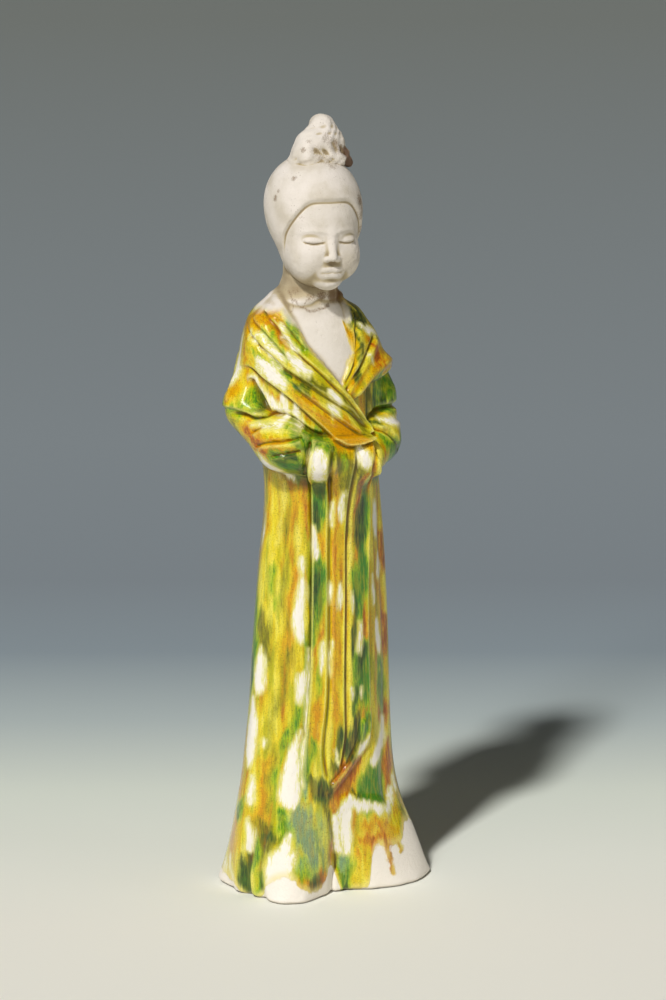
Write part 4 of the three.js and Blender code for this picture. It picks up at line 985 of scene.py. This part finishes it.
def backStrokes():
    chance = np.random.default_rng(backGlaze["seed"])
    strokes = {}
    for name, count in backGlaze["counts"].items():
        strokes[name] = []
        for _ in range(count):
            place, width = chance.uniform(*backGlaze["between"]), chance.uniform(*backGlaze["widths"])
            tops = [chance.uniform(*backGlaze["fromWaist"]), chance.uniform(*backGlaze["fromShawl"])]
            top = chance.choice(tops, p=[backGlaze["waistShare"], 1 - backGlaze["waistShare"]])
            isOnShawl = top > backGlaze["fromWaist"][1]
            length = chance.uniform(*backGlaze["lengths"]) * (backGlaze["onShawl"] if isOnShawl else 1)
            wander = chance.uniform(-backGlaze["wander"], backGlaze["wander"])
            strokes[name].append([(place + wander * t, top - length * t, width * share)
                                  for t, share in backGlaze["shape"]])
    return strokes


def waves(table, u, v):
    return sum(height * np.sin(across * u + up * v + phase) for height, across, up, phase in table)


def vertexVectors(mesh, name):
    values = np.empty(len(mesh.vertices) * 3)
    mesh.vertices.foreach_get(name, values)
    return values.reshape(-1, 3)


# How far each point lies below (+) or above (-) its surroundings, after some rounds of smoothing
def hollows(mesh, rounds):
    places, normals = vertexVectors(mesh, "co") / part, vertexVectors(mesh, "normal")
    ends = np.empty(len(mesh.edges) * 2, int)
    mesh.edges.foreach_get("vertices", ends)
    a, b = ends.reshape(-1, 2).T
    weight = 1 / np.maximum(np.linalg.norm(places[a] - places[b], axis=1), shortestEdge)
    count = len(places)
    total = np.bincount(a, weight, count) + np.bincount(b, weight, count)
    smooth = places.copy()
    for _ in range(rounds):
        sums = [np.bincount(a, weight * smooth[b, k], count) + np.bincount(b, weight * smooth[a, k], count)
                for k in range(3)]
        smooth = np.stack(sums, 1) / total[:, None]
    return ((smooth - places) * normals).sum(1)


# Where the clay is bare, as a depth like that of the strokes: chest, neck, foot and head
def bareDepth(u, z, amber, isTop):
    reach, degreesRound = glaze["reach"], degreesAt(u)
    beyond = [(side * turn * shawl["leftUpper"][0][0] / 360, aboveAll) for side in (1, -1)]
    opening = np.vstack([unrolled(shawl["frontUpper"][:glaze["besideChest"]]),
                         unrolled(shawl["leftUpper"])[::-1], beyond])
    chest = depthInside(opening, u, z) - glaze["shawlEdge"]
    bare = np.clip(np.maximum(chest, z - fromTable(glaze["neckLine"], degreesRound)), -reach, reach)
    bare = np.maximum(bare, np.clip(fromTable(glaze["footLine"], degreesRound) - z, -reach, reach))
    bare = np.where((z > glaze["amberOver"]) & (u > 0), np.minimum(bare, -amber), bare)
    bare = np.minimum(bare, -withinStrokes(glaze["drips"], u, z))
    return np.where(isTop, reach, bare)


def stainingAndShade(places, u, z, isTop):
    stainedAndShaded = markStrength * smoothStep(*markEdges, withinStrokes(marks, u, z)) * ~isTop
    for middle, radius, strength in stainsAndShade:
        away = np.linalg.norm(places - middle, axis=1) / radius
        stainedAndShaded = np.maximum(stainedAndShaded, strength * smoothStep(*stainAndShadeEdges, away))
    return stainedAndShaded


# Each point's place with most of its way along the run taken out, so that noise on it is drawn out
def placesOnRuns(places, u, z, isTop):
    degreesRound, ends = degreesAt(u), ways["shawlEnds"]
    right = clothPatch(shawl["frontUpper"], shawl["frontLower"], u, z) * smoothStep(*ends[0], degreesRound)
    left = clothPatch(shawl["leftUpper"], shawl["leftLower"], u, z) * smoothStep(*ends[1], degreesRound)
    low, high = ways["forearmHeights"]
    onForearm = (z > low) & (z < high) & (degreesRound < ways["forearmTo"]) & (right < 0.5)
    way = np.tile([float(c) for c in ways["down"]], (len(z), 1))
    for name, where in (("rightShawl", right > 0.5), ("leftShawl", left > 0.5), ("forearm", onForearm)):
        way[where] = Vector(ways[name]).normalized()
    drawn = places - ways["drawnOut"] * (places * way).sum(1)[:, None] * way
    drawn[isTop] = places[isTop]
    return drawn


def addVectors(mesh, name, x, y, z):
    attribute = mesh.attributes.new(name, "FLOAT_VECTOR", "POINT")
    attribute.data.foreach_set("vector", np.stack([x, y, z], 1).astype(np.float32).ravel())


places = vertexVectors(mesh, "co") / part
x, y, z = places.T
gownTop = gown["profile"][-1][0]
u = np.arctan2(x - fromTable(gown["profile"], np.clip(z, 0, gownTop), 1), -y) * unroll
isTop = z > glaze["headFrom"]
depth = {}
for name, strokes in backStrokes().items():
    swayBy, sagBy, *spreads = glaze["stiff" if name == "cream" else "runny"]
    swayed, sagged = u + swayBy * waves(glaze["sway"], u, z), z + sagBy * waves(glaze["sag"], u, z)
    depth[name] = withinStrokes(glaze[name] + strokes, swayed, sagged, *spreads)
bare, stainedAndShaded = bareDepth(u, z, depth["amber"], isTop), stainingAndShade(places, u, z, isTop)
addVectors(mesh, "glazeOne", depth["cream"], depth["green"], depth["deep"])
addVectors(mesh, "glazeTwo", depth["amber"], depth["rust"], depth["olive"])
addVectors(mesh, "glazeThree", depth["pale"], depth["mist"], bare)
addVectors(mesh, "surface", hollows(mesh, broadRounds), stainedAndShaded, hollows(mesh, narrowRounds))
addVectors(mesh, "runPlace", *placesOnRuns(places, u, z, isTop).T)
print("glaze brushed on")


# Materials. Colours are written as seen on a screen, 0 to 255, and lengths in millimetres.

def paint(red, green, blue):
    return (*(((c / 255 + 0.055) / 1.055) ** 2.4 for c in (red, green, blue)), 1)


def isSocket(value):
    return isinstance(value, bpy.types.NodeSocket)


def addNode(tree, kind, inputs=None, **settings):
    made = tree.nodes.new(kind)
    for key, value in settings.items():
        setattr(made, key, value)
    for key, value in (inputs or {}).items():
        if isSocket(value):
            tree.links.new(value, made.inputs[key])
        else:
            made.inputs[key].default_value = value
    return made


def link(value, socket):
    value.id_data.links.new(value, socket)


# Sums with sockets and numbers, made in the tree that the socket is in
def calc(operation, a, b):
    tree = (a if isSocket(a) else b).id_data
    return addNode(tree, "ShaderNodeMath", {0: a, 1: b}, operation=operation).outputs[0]


def plus(a, b):
    return calc("ADD", a, b)


def times(a, b):
    return calc("MULTIPLY", a, b)


def minus(a, b):
    return calc("SUBTRACT", a, b)


# Noise goes from 0 to 1: this puts its middle at 0
def centred(value):
    return minus(value, 0.5)


# Values added up, each after the first with a weight
def mixed(first, *others):
    for value, weight in others:
        first = plus(first, times(value, weight))
    return first


def blend(share, a, b):
    return addNode(share.id_data, "ShaderNodeMix", {0: share, 6: a, 7: b}, data_type="RGBA").outputs[2]


def noise(place, scale, detail):
    inputs = {"Vector": place, "Scale": scale, "Detail": detail}
    return addNode(place.id_data, "ShaderNodeTexNoise", inputs).outputs[0]


def spots(place, scale):
    inputs = {"Vector": place, "Scale": scale}
    return addNode(place.id_data, "ShaderNodeTexVoronoi", inputs, feature="F1").outputs[0]


# From start to end, softly, while a value goes from low to high
def ease(value, low, high, start=0.0, end=1.0):
    inputs = {"Value": value, "From Min": low, "From Max": high, "To Min": start, "To Max": end}
    return addNode(value.id_data, "ShaderNodeMapRange", inputs, interpolation_type="SMOOTHSTEP").outputs[0]


# A colour over another: none of it where a value is low, most of it where the value is high
def layer(under, value, colour, low, high, most):
    return blend(ease(value, low, high, 0, most), under, colour)


def ramp(value, stops):
    made = addNode(value.id_data, "ShaderNodeValToRGB", {0: value})
    elements = made.color_ramp.elements
    elements[0].position, elements[0].color = stops[0]
    elements[1].position, elements[1].color = stops[-1]
    for place, colour in stops[1:-1]:
        elements.new(place).color = colour
    return made.outputs[0]


socketKinds = {"value": "NodeSocketFloat", "colour": "NodeSocketColor", "vector": "NodeSocketVector"}


def newGroup(name, inputs, outputs):
    group = bpy.data.node_groups.new(name, "ShaderNodeTree")
    for label, kind in inputs.items():
        group.interface.new_socket(label, in_out="INPUT", socket_type=socketKinds[kind])
    for label, kind in outputs.items():
        group.interface.new_socket(label, in_out="OUTPUT", socket_type=socketKinds[kind])
    return group, group.nodes.new("NodeGroupInput").outputs, group.nodes.new("NodeGroupOutput").inputs


def useGroup(tree, group, **inputs):
    return addNode(tree, "ShaderNodeGroup", inputs, node_tree=group).outputs


# One glaze over what lies under it: ragged fingers at its edge, thin at the rim and thick inside.
# Noise is (waves to a millimetre, detail).
coatLook = {
    "coarse": (0.32, 3),
    "fine": (1.7, 3),
    "fineAtEdge": 0.25,
    "fineWithin": 5,
    "patches": (0.9, 4),
    "patchy": (0.36, 0.6, 0.74, 1),
}
glazeCoat, taken, given = newGroup(
    "glazeCoat",
    {"Under": "colour", "Thin": "colour", "Thick": "colour", "Depth": "value", "Place": "vector",
     "Wander": "value", "Soft": "value", "Cover": "value", "Full": "value"},
    {"Colour": "colour", "Mask": "value"})
run = taken["Place"]
fine = centred(noise(run, *coatLook["fine"]))
ragged = mixed(centred(noise(run, *coatLook["coarse"])), (fine, coatLook["fineAtEdge"]))
depthNow = plus(taken["Depth"], times(ragged, taken["Wander"]))
mask = ease(depthNow, times(taken["Soft"], -1), taken["Soft"])
thick = ease(mixed(depthNow, (fine, coatLook["fineWithin"])), 0, taken["Full"])
patchy = ease(noise(run, *coatLook["patches"]), *coatLook["patchy"])
covered = times(times(mask, taken["Cover"]), patchy)
link(blend(covered, taken["Under"], blend(thick, taken["Thin"], taken["Thick"])), given["Colour"])
link(mask, given["Mask"])

# Bare fired clay, whitish, with earth in its hollows and pores, and stains. On the neck the earth and the
# stains also carry painted shade under the head. A layer is (colour, the values between which it grows, its
# greatest share).
clayFinish = {
    "patches": (0.09, 4),
    "grain": (1.6, 5),
    "poreFields": (0.16, 2),
    "waves": (0.6, 4),
    "pores": 0.75,
    "poreSizes": (0.24, 0.08),
    "poresWhere": (0.5, 0.64),
    "body": [(0.34, paint(206, 196, 180)), (0.5, paint(220, 211, 199)), (0.68, paint(228, 219, 209))],
    "grains": (paint(196, 182, 152), 0.58, 0.72, 0.22),
    "earthAndShade": (paint(178, 160, 118), 0.15, 1.1, 0.75),
    "deepEarth": (paint(116, 96, 64), 0.8, 2, 0.6),
    "inPores": (paint(128, 110, 82), 0.55),
    "faintStain": paint(128, 104, 76),
    "darkStain": (paint(98, 64, 36), 0.75, 1.1, 1),
    "stainAndShadeGrows": (0.18, 0.75, 0.9),
    "hollowWeight": 2.2,
    "unevenness": 0.9,
    "heights": (0.2, 0.4, -0.1),  # of grain, waves and pores
}
clayLook, taken, given = newGroup(
    "clayLook", {"Place": "vector", "Hollow": "value", "Stain": "value", "Earth": "value"},
    {"Colour": "colour", "Height": "value"})
place = taken["Place"]
patches, grain = noise(place, *clayFinish["patches"]), noise(place, *clayFinish["grain"])
poresWhere = ease(noise(place, *clayFinish["poreFields"]), *clayFinish["poresWhere"])
pore = times(ease(spots(place, clayFinish["pores"]), *clayFinish["poreSizes"]), poresWhere)
earthAndShadeShare = mixed(taken["Earth"], (taken["Hollow"], clayFinish["hollowWeight"]),
               (centred(patches), clayFinish["unevenness"]))
body = layer(ramp(patches, clayFinish["body"]), grain, *clayFinish["grains"])
body = layer(body, earthAndShadeShare, *clayFinish["earthAndShade"])
body = layer(body, earthAndShadeShare, *clayFinish["deepEarth"])
poreColour, poreShare = clayFinish["inPores"]
body = blend(times(pore, poreShare), body, poreColour)
# brown stains, which round the neck and on the head's shaded side are painted shade too
stainAndShadeColour = layer(clayFinish["faintStain"], taken["Stain"], *clayFinish["darkStain"])
stainAndShadeEdge = mixed(taken["Stain"], (centred(grain), clayFinish["unevenness"]))
link(layer(body, stainAndShadeEdge, stainAndShadeColour, *clayFinish["stainAndShadeGrows"]), given["Colour"])
grainHeight, waveHeight, poreHeight = clayFinish["heights"]
waved = noise(place, *clayFinish["waves"])
link(mixed(times(grain, grainHeight), (waved, waveHeight), (pore, poreHeight)), given["Height"])


def newMaterial(name):
    material = bpy.data.materials.new(name)
    material.use_nodes = True
    tree = material.node_tree
    return material, tree, tree.nodes["Principled BSDF"]


def setShader(shader, inputs):
    for name, value in inputs.items():
        if isSocket(value):
            link(value, shader.inputs[name])
        else:
            shader.inputs[name].default_value = value


def threeValues(vector):
    return addNode(vector.id_data, "ShaderNodeSeparateXYZ", {0: vector}).outputs


def stored(tree, name):
    made = addNode(tree, "ShaderNodeAttribute", attribute_type="GEOMETRY", attribute_name=name)
    return made.outputs["Vector"]


def objectPlace(tree):
    return addNode(tree, "ShaderNodeTexCoord").outputs["Object"]


def millimetres(tree):
    inputs = {0: objectPlace(tree), 1: (1000, 1000, 1000)}
    return addNode(tree, "ShaderNodeVectorMath", inputs, operation="MULTIPLY").outputs[0]


def bump(height, strength=0.7):
    inputs = {"Height": height, "Distance": 0.001, "Strength": strength}
    return addNode(height.id_data, "ShaderNodeBump", inputs).outputs[0]


# Thin and thick colour, wander and softness of the edge, cover, depth at which it is full; the first
# lies lowest
glazeColours = {
    "pale": (paint(228, 208, 50), paint(238, 224, 96), 9, 2.6, 0.9, 3),
    "amber": (paint(230, 188, 14), paint(210, 146, 0), 7, 1.8, 1, 3),
    "olive": (paint(158, 156, 14), paint(98, 100, 10), 9, 2.4, 0.95, 3),
    "rust": (paint(208, 118, 12), paint(156, 70, 8), 7, 1.4, 0.95, 2.4),
    "green": (paint(150, 184, 24), paint(58, 126, 30), 7, 1.5, 1, 3.2),
    "deep": (paint(52, 92, 30), paint(16, 40, 22), 6, 1.2, 0.95, 3),
    "mist": (paint(170, 198, 110), paint(122, 156, 122), 8, 2.8, 0.9, 3),
    "cream": (paint(230, 224, 140), paint(247, 241, 228), 4.2, 1.4, 1.4, 1.8),
}

# The rest of the glazed clay. Noise is (waves to a millimetre, detail); a layer is (colour, the
# values between which it grows, its greatest share); heights are millimetres over the floor.
glazedLook = {
    "streaks": (0.55, 4),
    "pools": (0.14, 2),
    "mixture": (0.36, 0.64, 0.12, 0.2),  # of streaks, pools, broad and narrow hollows
    "thickness": (0.32, 0.7),
    "honey": [(0, paint(238, 226, 84)), (0.25, paint(230, 210, 40)), (0.5, paint(218, 190, 14)),
              (0.75, paint(210, 160, 2)), (1, paint(186, 122, 0))],
    "greenFields": (0.3, 3),
    "greenish": (paint(164, 170, 16), 0.46, 0.66, 0.7),
    "hollowInPools": 0.35,
    "pooled": (0.12, 0.7, 0, 0.68),
    "greenPool": paint(70, 84, 16),
    "brownPool": paint(110, 66, 6),
    "brownWhere": (0.42, 0.6),
    "thinned": (paint(240, 230, 130), 0.1, 0.6, 0.45),
    "mottle": (1.7, 4),
    "mottled": (0.48, 0.68, 0, 0.36),
    "mottleColour": paint(96, 78, 10),
    "specks": 0.6,
    "speckSizes": (0.2, 0.09),
    "speckWhere": (0.42, 0.56),
    "speckOnCream": (0, 1, 0.6, 0.12),
    "speckColour": paint(62, 48, 22),
    "earthFields": (0.07, 2),
    "earthPatches": (0.45, 0.7, 0, 0.3),
    # brown earth on the neck that also stands for the head's shade there: painted shade
    "neckEarth": (272, 281, 0, 1),
    "chest": ((200, 210, 0, 0.36), (275, 266)),
    "foot": (60, 40, 0, 0.9),
    "palest": paint(246, 238, 226),
    "edgeBloom": (-1.8, 0, 0, 0.6),
    "footBloom": (-5, -0.5),
    "footBloomHeights": (50, 35, 0, 0.6),
    "bloomOnRust": (-0.5, 1.2, 1, 0.25),
    "bloomColour": paint(238, 220, 140),
    "edgeNoise": (0.26, 4),
    "shoulder": (264, 270),  # the edge of the glaze is straighter and softer above
    "edgeWander": (4.4, 3),
    "edgeStart": (-0.7, -4),
    "edgeEnd": 0.5,
    # painted contact shadow: the colour darkens over the lowest 1.3 millimetres, where the hem meets the
    # floor
    "paintedContactShadow": (paint(74, 62, 44), 1.3, 0.2, 0.66),
    "roughness": (0.3, 0.82),
    "waves": (0.5, 2),
    "heights": (0.35, 0.45, 0.15),  # of streaks and waves, and of the glaze over the clay
}
look = glazedLook
glazedClay, tree, shader = newMaterial("glazedClay")
run, place = stored(tree, "runPlace"), millimetres(tree)
heightUp = threeValues(place)[2]
depths = {}
for attribute, names in (("glazeOne", ("cream", "green", "deep")), ("glazeTwo", ("amber", "rust", "olive")),
                         ("glazeThree", ("pale", "mist", "bare"))):
    depths.update(zip(names, threeValues(stored(tree, attribute))))
hollow, stainAndShade, narrow = threeValues(stored(tree, "surface"))
streaks, pools = noise(run, *look["streaks"]), noise(run, *look["pools"])
streakShare, poolShare, hollowShare, creaseShare = look["mixture"]
thickness = mixed(times(streaks, streakShare), (pools, poolShare), (hollow, hollowShare),
                  (narrow, creaseShare))
colour = ramp(ease(thickness, *look["thickness"]), look["honey"])
colour = layer(colour, noise(run, *look["greenFields"]), *look["greenish"])
for name, (thin, thick, wander, soft, cover, full) in glazeColours.items():
    coat = useGroup(tree, glazeCoat, Under=colour, Thin=thin, Thick=thick, Depth=depths[name], Place=run,
                    Wander=wander, Soft=soft, Cover=cover, Full=full)
    colour = coat["Colour"]
notCream = minus(1.0, coat["Mask"])
pooled = ease(mixed(narrow, (hollow, look["hollowInPools"])), *look["pooled"])
poolColour = blend(ease(pools, *look["brownWhere"]), look["greenPool"], look["brownPool"])
colour = blend(times(pooled, notCream), colour, poolColour)
colour = layer(colour, times(narrow, -1), *look["thinned"])
mottle = ease(noise(place, *look["mottle"]), *look["mottled"])
colour = blend(times(mottle, notCream), colour, look["mottleColour"])
speck = times(ease(spots(place, look["specks"]), *look["speckSizes"]), ease(pools, *look["speckWhere"]))
speck = times(speck, ease(coat["Mask"], *look["speckOnCream"]))
colour = blend(speck, colour, look["speckColour"])
# earth in patches, and at the foot of the neck earth with painted shade
earthAndShade = plus(ease(heightUp, *look["neckEarth"]),
             ease(noise(place, *look["earthFields"]), *look["earthPatches"]))
clay = useGroup(tree, clayLook, Place=place, Hollow=plus(hollow, narrow), Stain=stainAndShade, Earth=earthAndShade)
chestFrom, chestTo = look["chest"]
chestHere = times(ease(heightUp, *chestFrom), ease(heightUp, *chestTo))
clayColour = blend(plus(ease(heightUp, *look["foot"]), chestHere), clay["Colour"], look["palest"])
footBloom = times(ease(depths["bare"], *look["footBloom"]), ease(heightUp, *look["footBloomHeights"]))
bloom = calc("MAXIMUM", ease(depths["bare"], *look["edgeBloom"]), footBloom)
bloom = times(bloom, ease(depths["rust"], *look["bloomOnRust"]))
colour = blend(bloom, colour, look["bloomColour"])
edgeWander = times(centred(noise(place, *look["edgeNoise"])),
                   ease(heightUp, *look["shoulder"], *look["edgeWander"]))
edgeStart = ease(heightUp, *look["shoulder"], *look["edgeStart"])
bareMask = ease(plus(depths["bare"], edgeWander), edgeStart, look["edgeEnd"])
streakHeight, waveHeight, glazeHeight = look["heights"]
glazeWaves = mixed(times(streaks, streakHeight), (noise(place, *look["waves"]), waveHeight))
heights = {0: bareMask, 2: plus(glazeWaves, glazeHeight), 3: clay["Height"]}
setShader(shader, {
    # the base colour darkens at the very bottom: painted contact shadow
    "Base Color": layer(blend(bareMask, colour, clayColour), heightUp, *look["paintedContactShadow"]),
    "Roughness": ease(bareMask, 0, 1, *look["roughness"]),
    "Coat Weight": ease(bareMask, 0, 1, 1, 0),
    "Specular IOR Level": 0.12,
    "Coat Roughness": 0.12,
    "Coat IOR": 1.46,
    "Normal": bump(addNode(tree, "ShaderNodeMix", heights).outputs[0]),
})

# Earth grows down the neck and on the topknot; on the neck it is also painted shade under the head
bareLook = {"neckEarth": (298, 287, 0, 1.2), "knotEarth": (336, 342, 0, 0.35), "roughness": 0.82}
bareClay, tree, shader = newMaterial("bareClay")
hollow, stainAndShade, narrow = threeValues(stored(tree, "surface"))
place = millimetres(tree)
heightUp = threeValues(place)[2]
earthAndShade = plus(ease(heightUp, *bareLook["neckEarth"]), ease(heightUp, *bareLook["knotEarth"]))
clay = useGroup(tree, clayLook, Place=place, Hollow=plus(hollow, narrow), Stain=stainAndShade, Earth=earthAndShade)
setShader(shader, {"Base Color": clay["Colour"], "Roughness": bareLook["roughness"],
                   "Normal": bump(clay["Height"])})

# The head's faces, whose every corner is above the neck, are all bare
mesh.materials.clear()
mesh.materials.append(glazedClay)
mesh.materials.append(bareClay)
corners = np.empty(len(mesh.loops), int)
mesh.loops.foreach_get("vertex_index", corners)
starts = np.empty(len(mesh.polygons), int)
mesh.polygons.foreach_get("loop_start", starts)
mesh.polygons.foreach_set("material_index", np.minimum.reduceat(isTop[corners].astype(int), starts))
figure.name = "attendant"
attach(figure, "root")
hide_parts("figure")
print("glaze and clay made")

# The floor: pale paper whose colour falls into painted shade behind the figure. Shades are (metres behind it,
# colour), and away is the way from the camera over the floor.
floorLook = {
    "half": 7,
    "away": (0.4226, 0.9063, 0),
    "shades": [(-0.07, (0.86, 0.84, 0.75)), (0.03, (0.82, 0.83, 0.74)), (0.145, (0.72, 0.76, 0.67)),
               (0.275, (0.46, 0.52, 0.51)), (0.42, (0.27, 0.32, 0.35)), (0.59, (0.24, 0.275, 0.3)),
               (1.0, (0.255, 0.29, 0.31)), (3.96, (0.225, 0.245, 0.23))],
    "roughness": 0.9,
    "gloss": 0.2,
}
half = floorLook["half"]
floorMesh = bpy.data.meshes.new("floor")
floorCorners = [(-half, -half, 0), (half, -half, 0), (half, half, 0), (-half, half, 0)]
floorMesh.from_pydata(floorCorners, [], [(0, 1, 2, 3)])
floor = bpy.data.objects.new("floor", floorMesh)
bpy.context.scene.collection.objects.link(floor)
paper, tree, shader = newMaterial("palePaper")
inputs = {0: objectPlace(tree), 1: floorLook["away"]}
away = addNode(tree, "ShaderNodeVectorMath", inputs, operation="DOT_PRODUCT").outputs["Value"]
near, far = floorLook["shades"][0][0], floorLook["shades"][-1][0]
shades = [((at - near) / (far - near), (*colour, 1)) for at, colour in floorLook["shades"]]
setShader(shader, {"Base Color": ramp(calc("DIVIDE", minus(away, near), far - near), shades),
                   "Roughness": floorLook["roughness"], "Specular IOR Level": floorLook["gloss"]})
floorMesh.materials.append(paper)

# Lights: a bright key high on the left, a tall window beside it that gives the gloss, a soft low fill
# from the right, and dim air
lights = {
    "key": {"power": 2.5, "colour": (1, 0.99, 0.98), "towards": (-0.77, -0.63, 1.1), "angle": 5},
    "fill": {"power": 0.36, "colour": (1, 0.99, 0.97), "towards": (1.6, -1.6, 0.35), "angle": 20},
    "window": {"power": 44, "colour": (0.96, 0.98, 1), "towards": (-2.4, -2, 2.65), "at": (-2.4, -2, 2.9),
               "size": (0.32, 1.9)},
    "air": {"power": 0.065, "colour": (1, 0.97, 0.9, 1)},
}


def addLamp(name, kind):
    look = lights[name]
    lamp = bpy.data.objects.new(name, bpy.data.lights.new(name, kind))
    lamp.data.energy, lamp.data.color = look["power"], look["colour"]
    lamp.rotation_euler = Vector(look["towards"]).to_track_quat("Z", "Y").to_euler()
    bpy.context.scene.collection.objects.link(lamp)
    return lamp


for name in ("key", "fill"):
    sun = addLamp(name, "SUN")
    sun.data.angle = radians(lights[name]["angle"])
    sun.visible_glossy = False
window = addLamp("window", "AREA")
window.location = lights["window"]["at"]
window.data.shape = "RECTANGLE"
window.data.size, window.data.size_y = lights["window"]["size"]
world = bpy.data.worlds.new("air")
world.use_nodes = True
air = world.node_tree.nodes["Background"].inputs
air["Color"].default_value, air["Strength"].default_value = lights["air"]["colour"], lights["air"]["power"]
bpy.context.scene.world = world

# The camera: round the figure, away from it, height, field of view, and how far it looks down and aside
view = {"round": -25, "away": 1.8, "height": 0.585, "field": 14.185, "down": 12.61, "aside": 0.248}
cameraData = bpy.data.cameras.new("camera")
cameraData.angle = radians(view["field"])
cameraData.clip_start = 0.1
camera = bpy.data.objects.new("camera", cameraData)
across = radians(view["round"])
camera.location = (sin(across) * view["away"], -cos(across) * view["away"], view["height"])
camera.rotation_euler = (pi / 2 - radians(view["down"]), 0, across - radians(view["aside"]))
bpy.context.scene.collection.objects.link(camera)
bpy.context.scene.camera = camera
bpy.context.scene.view_settings.view_transform = "Standard"
print("floor, lights and camera placed")
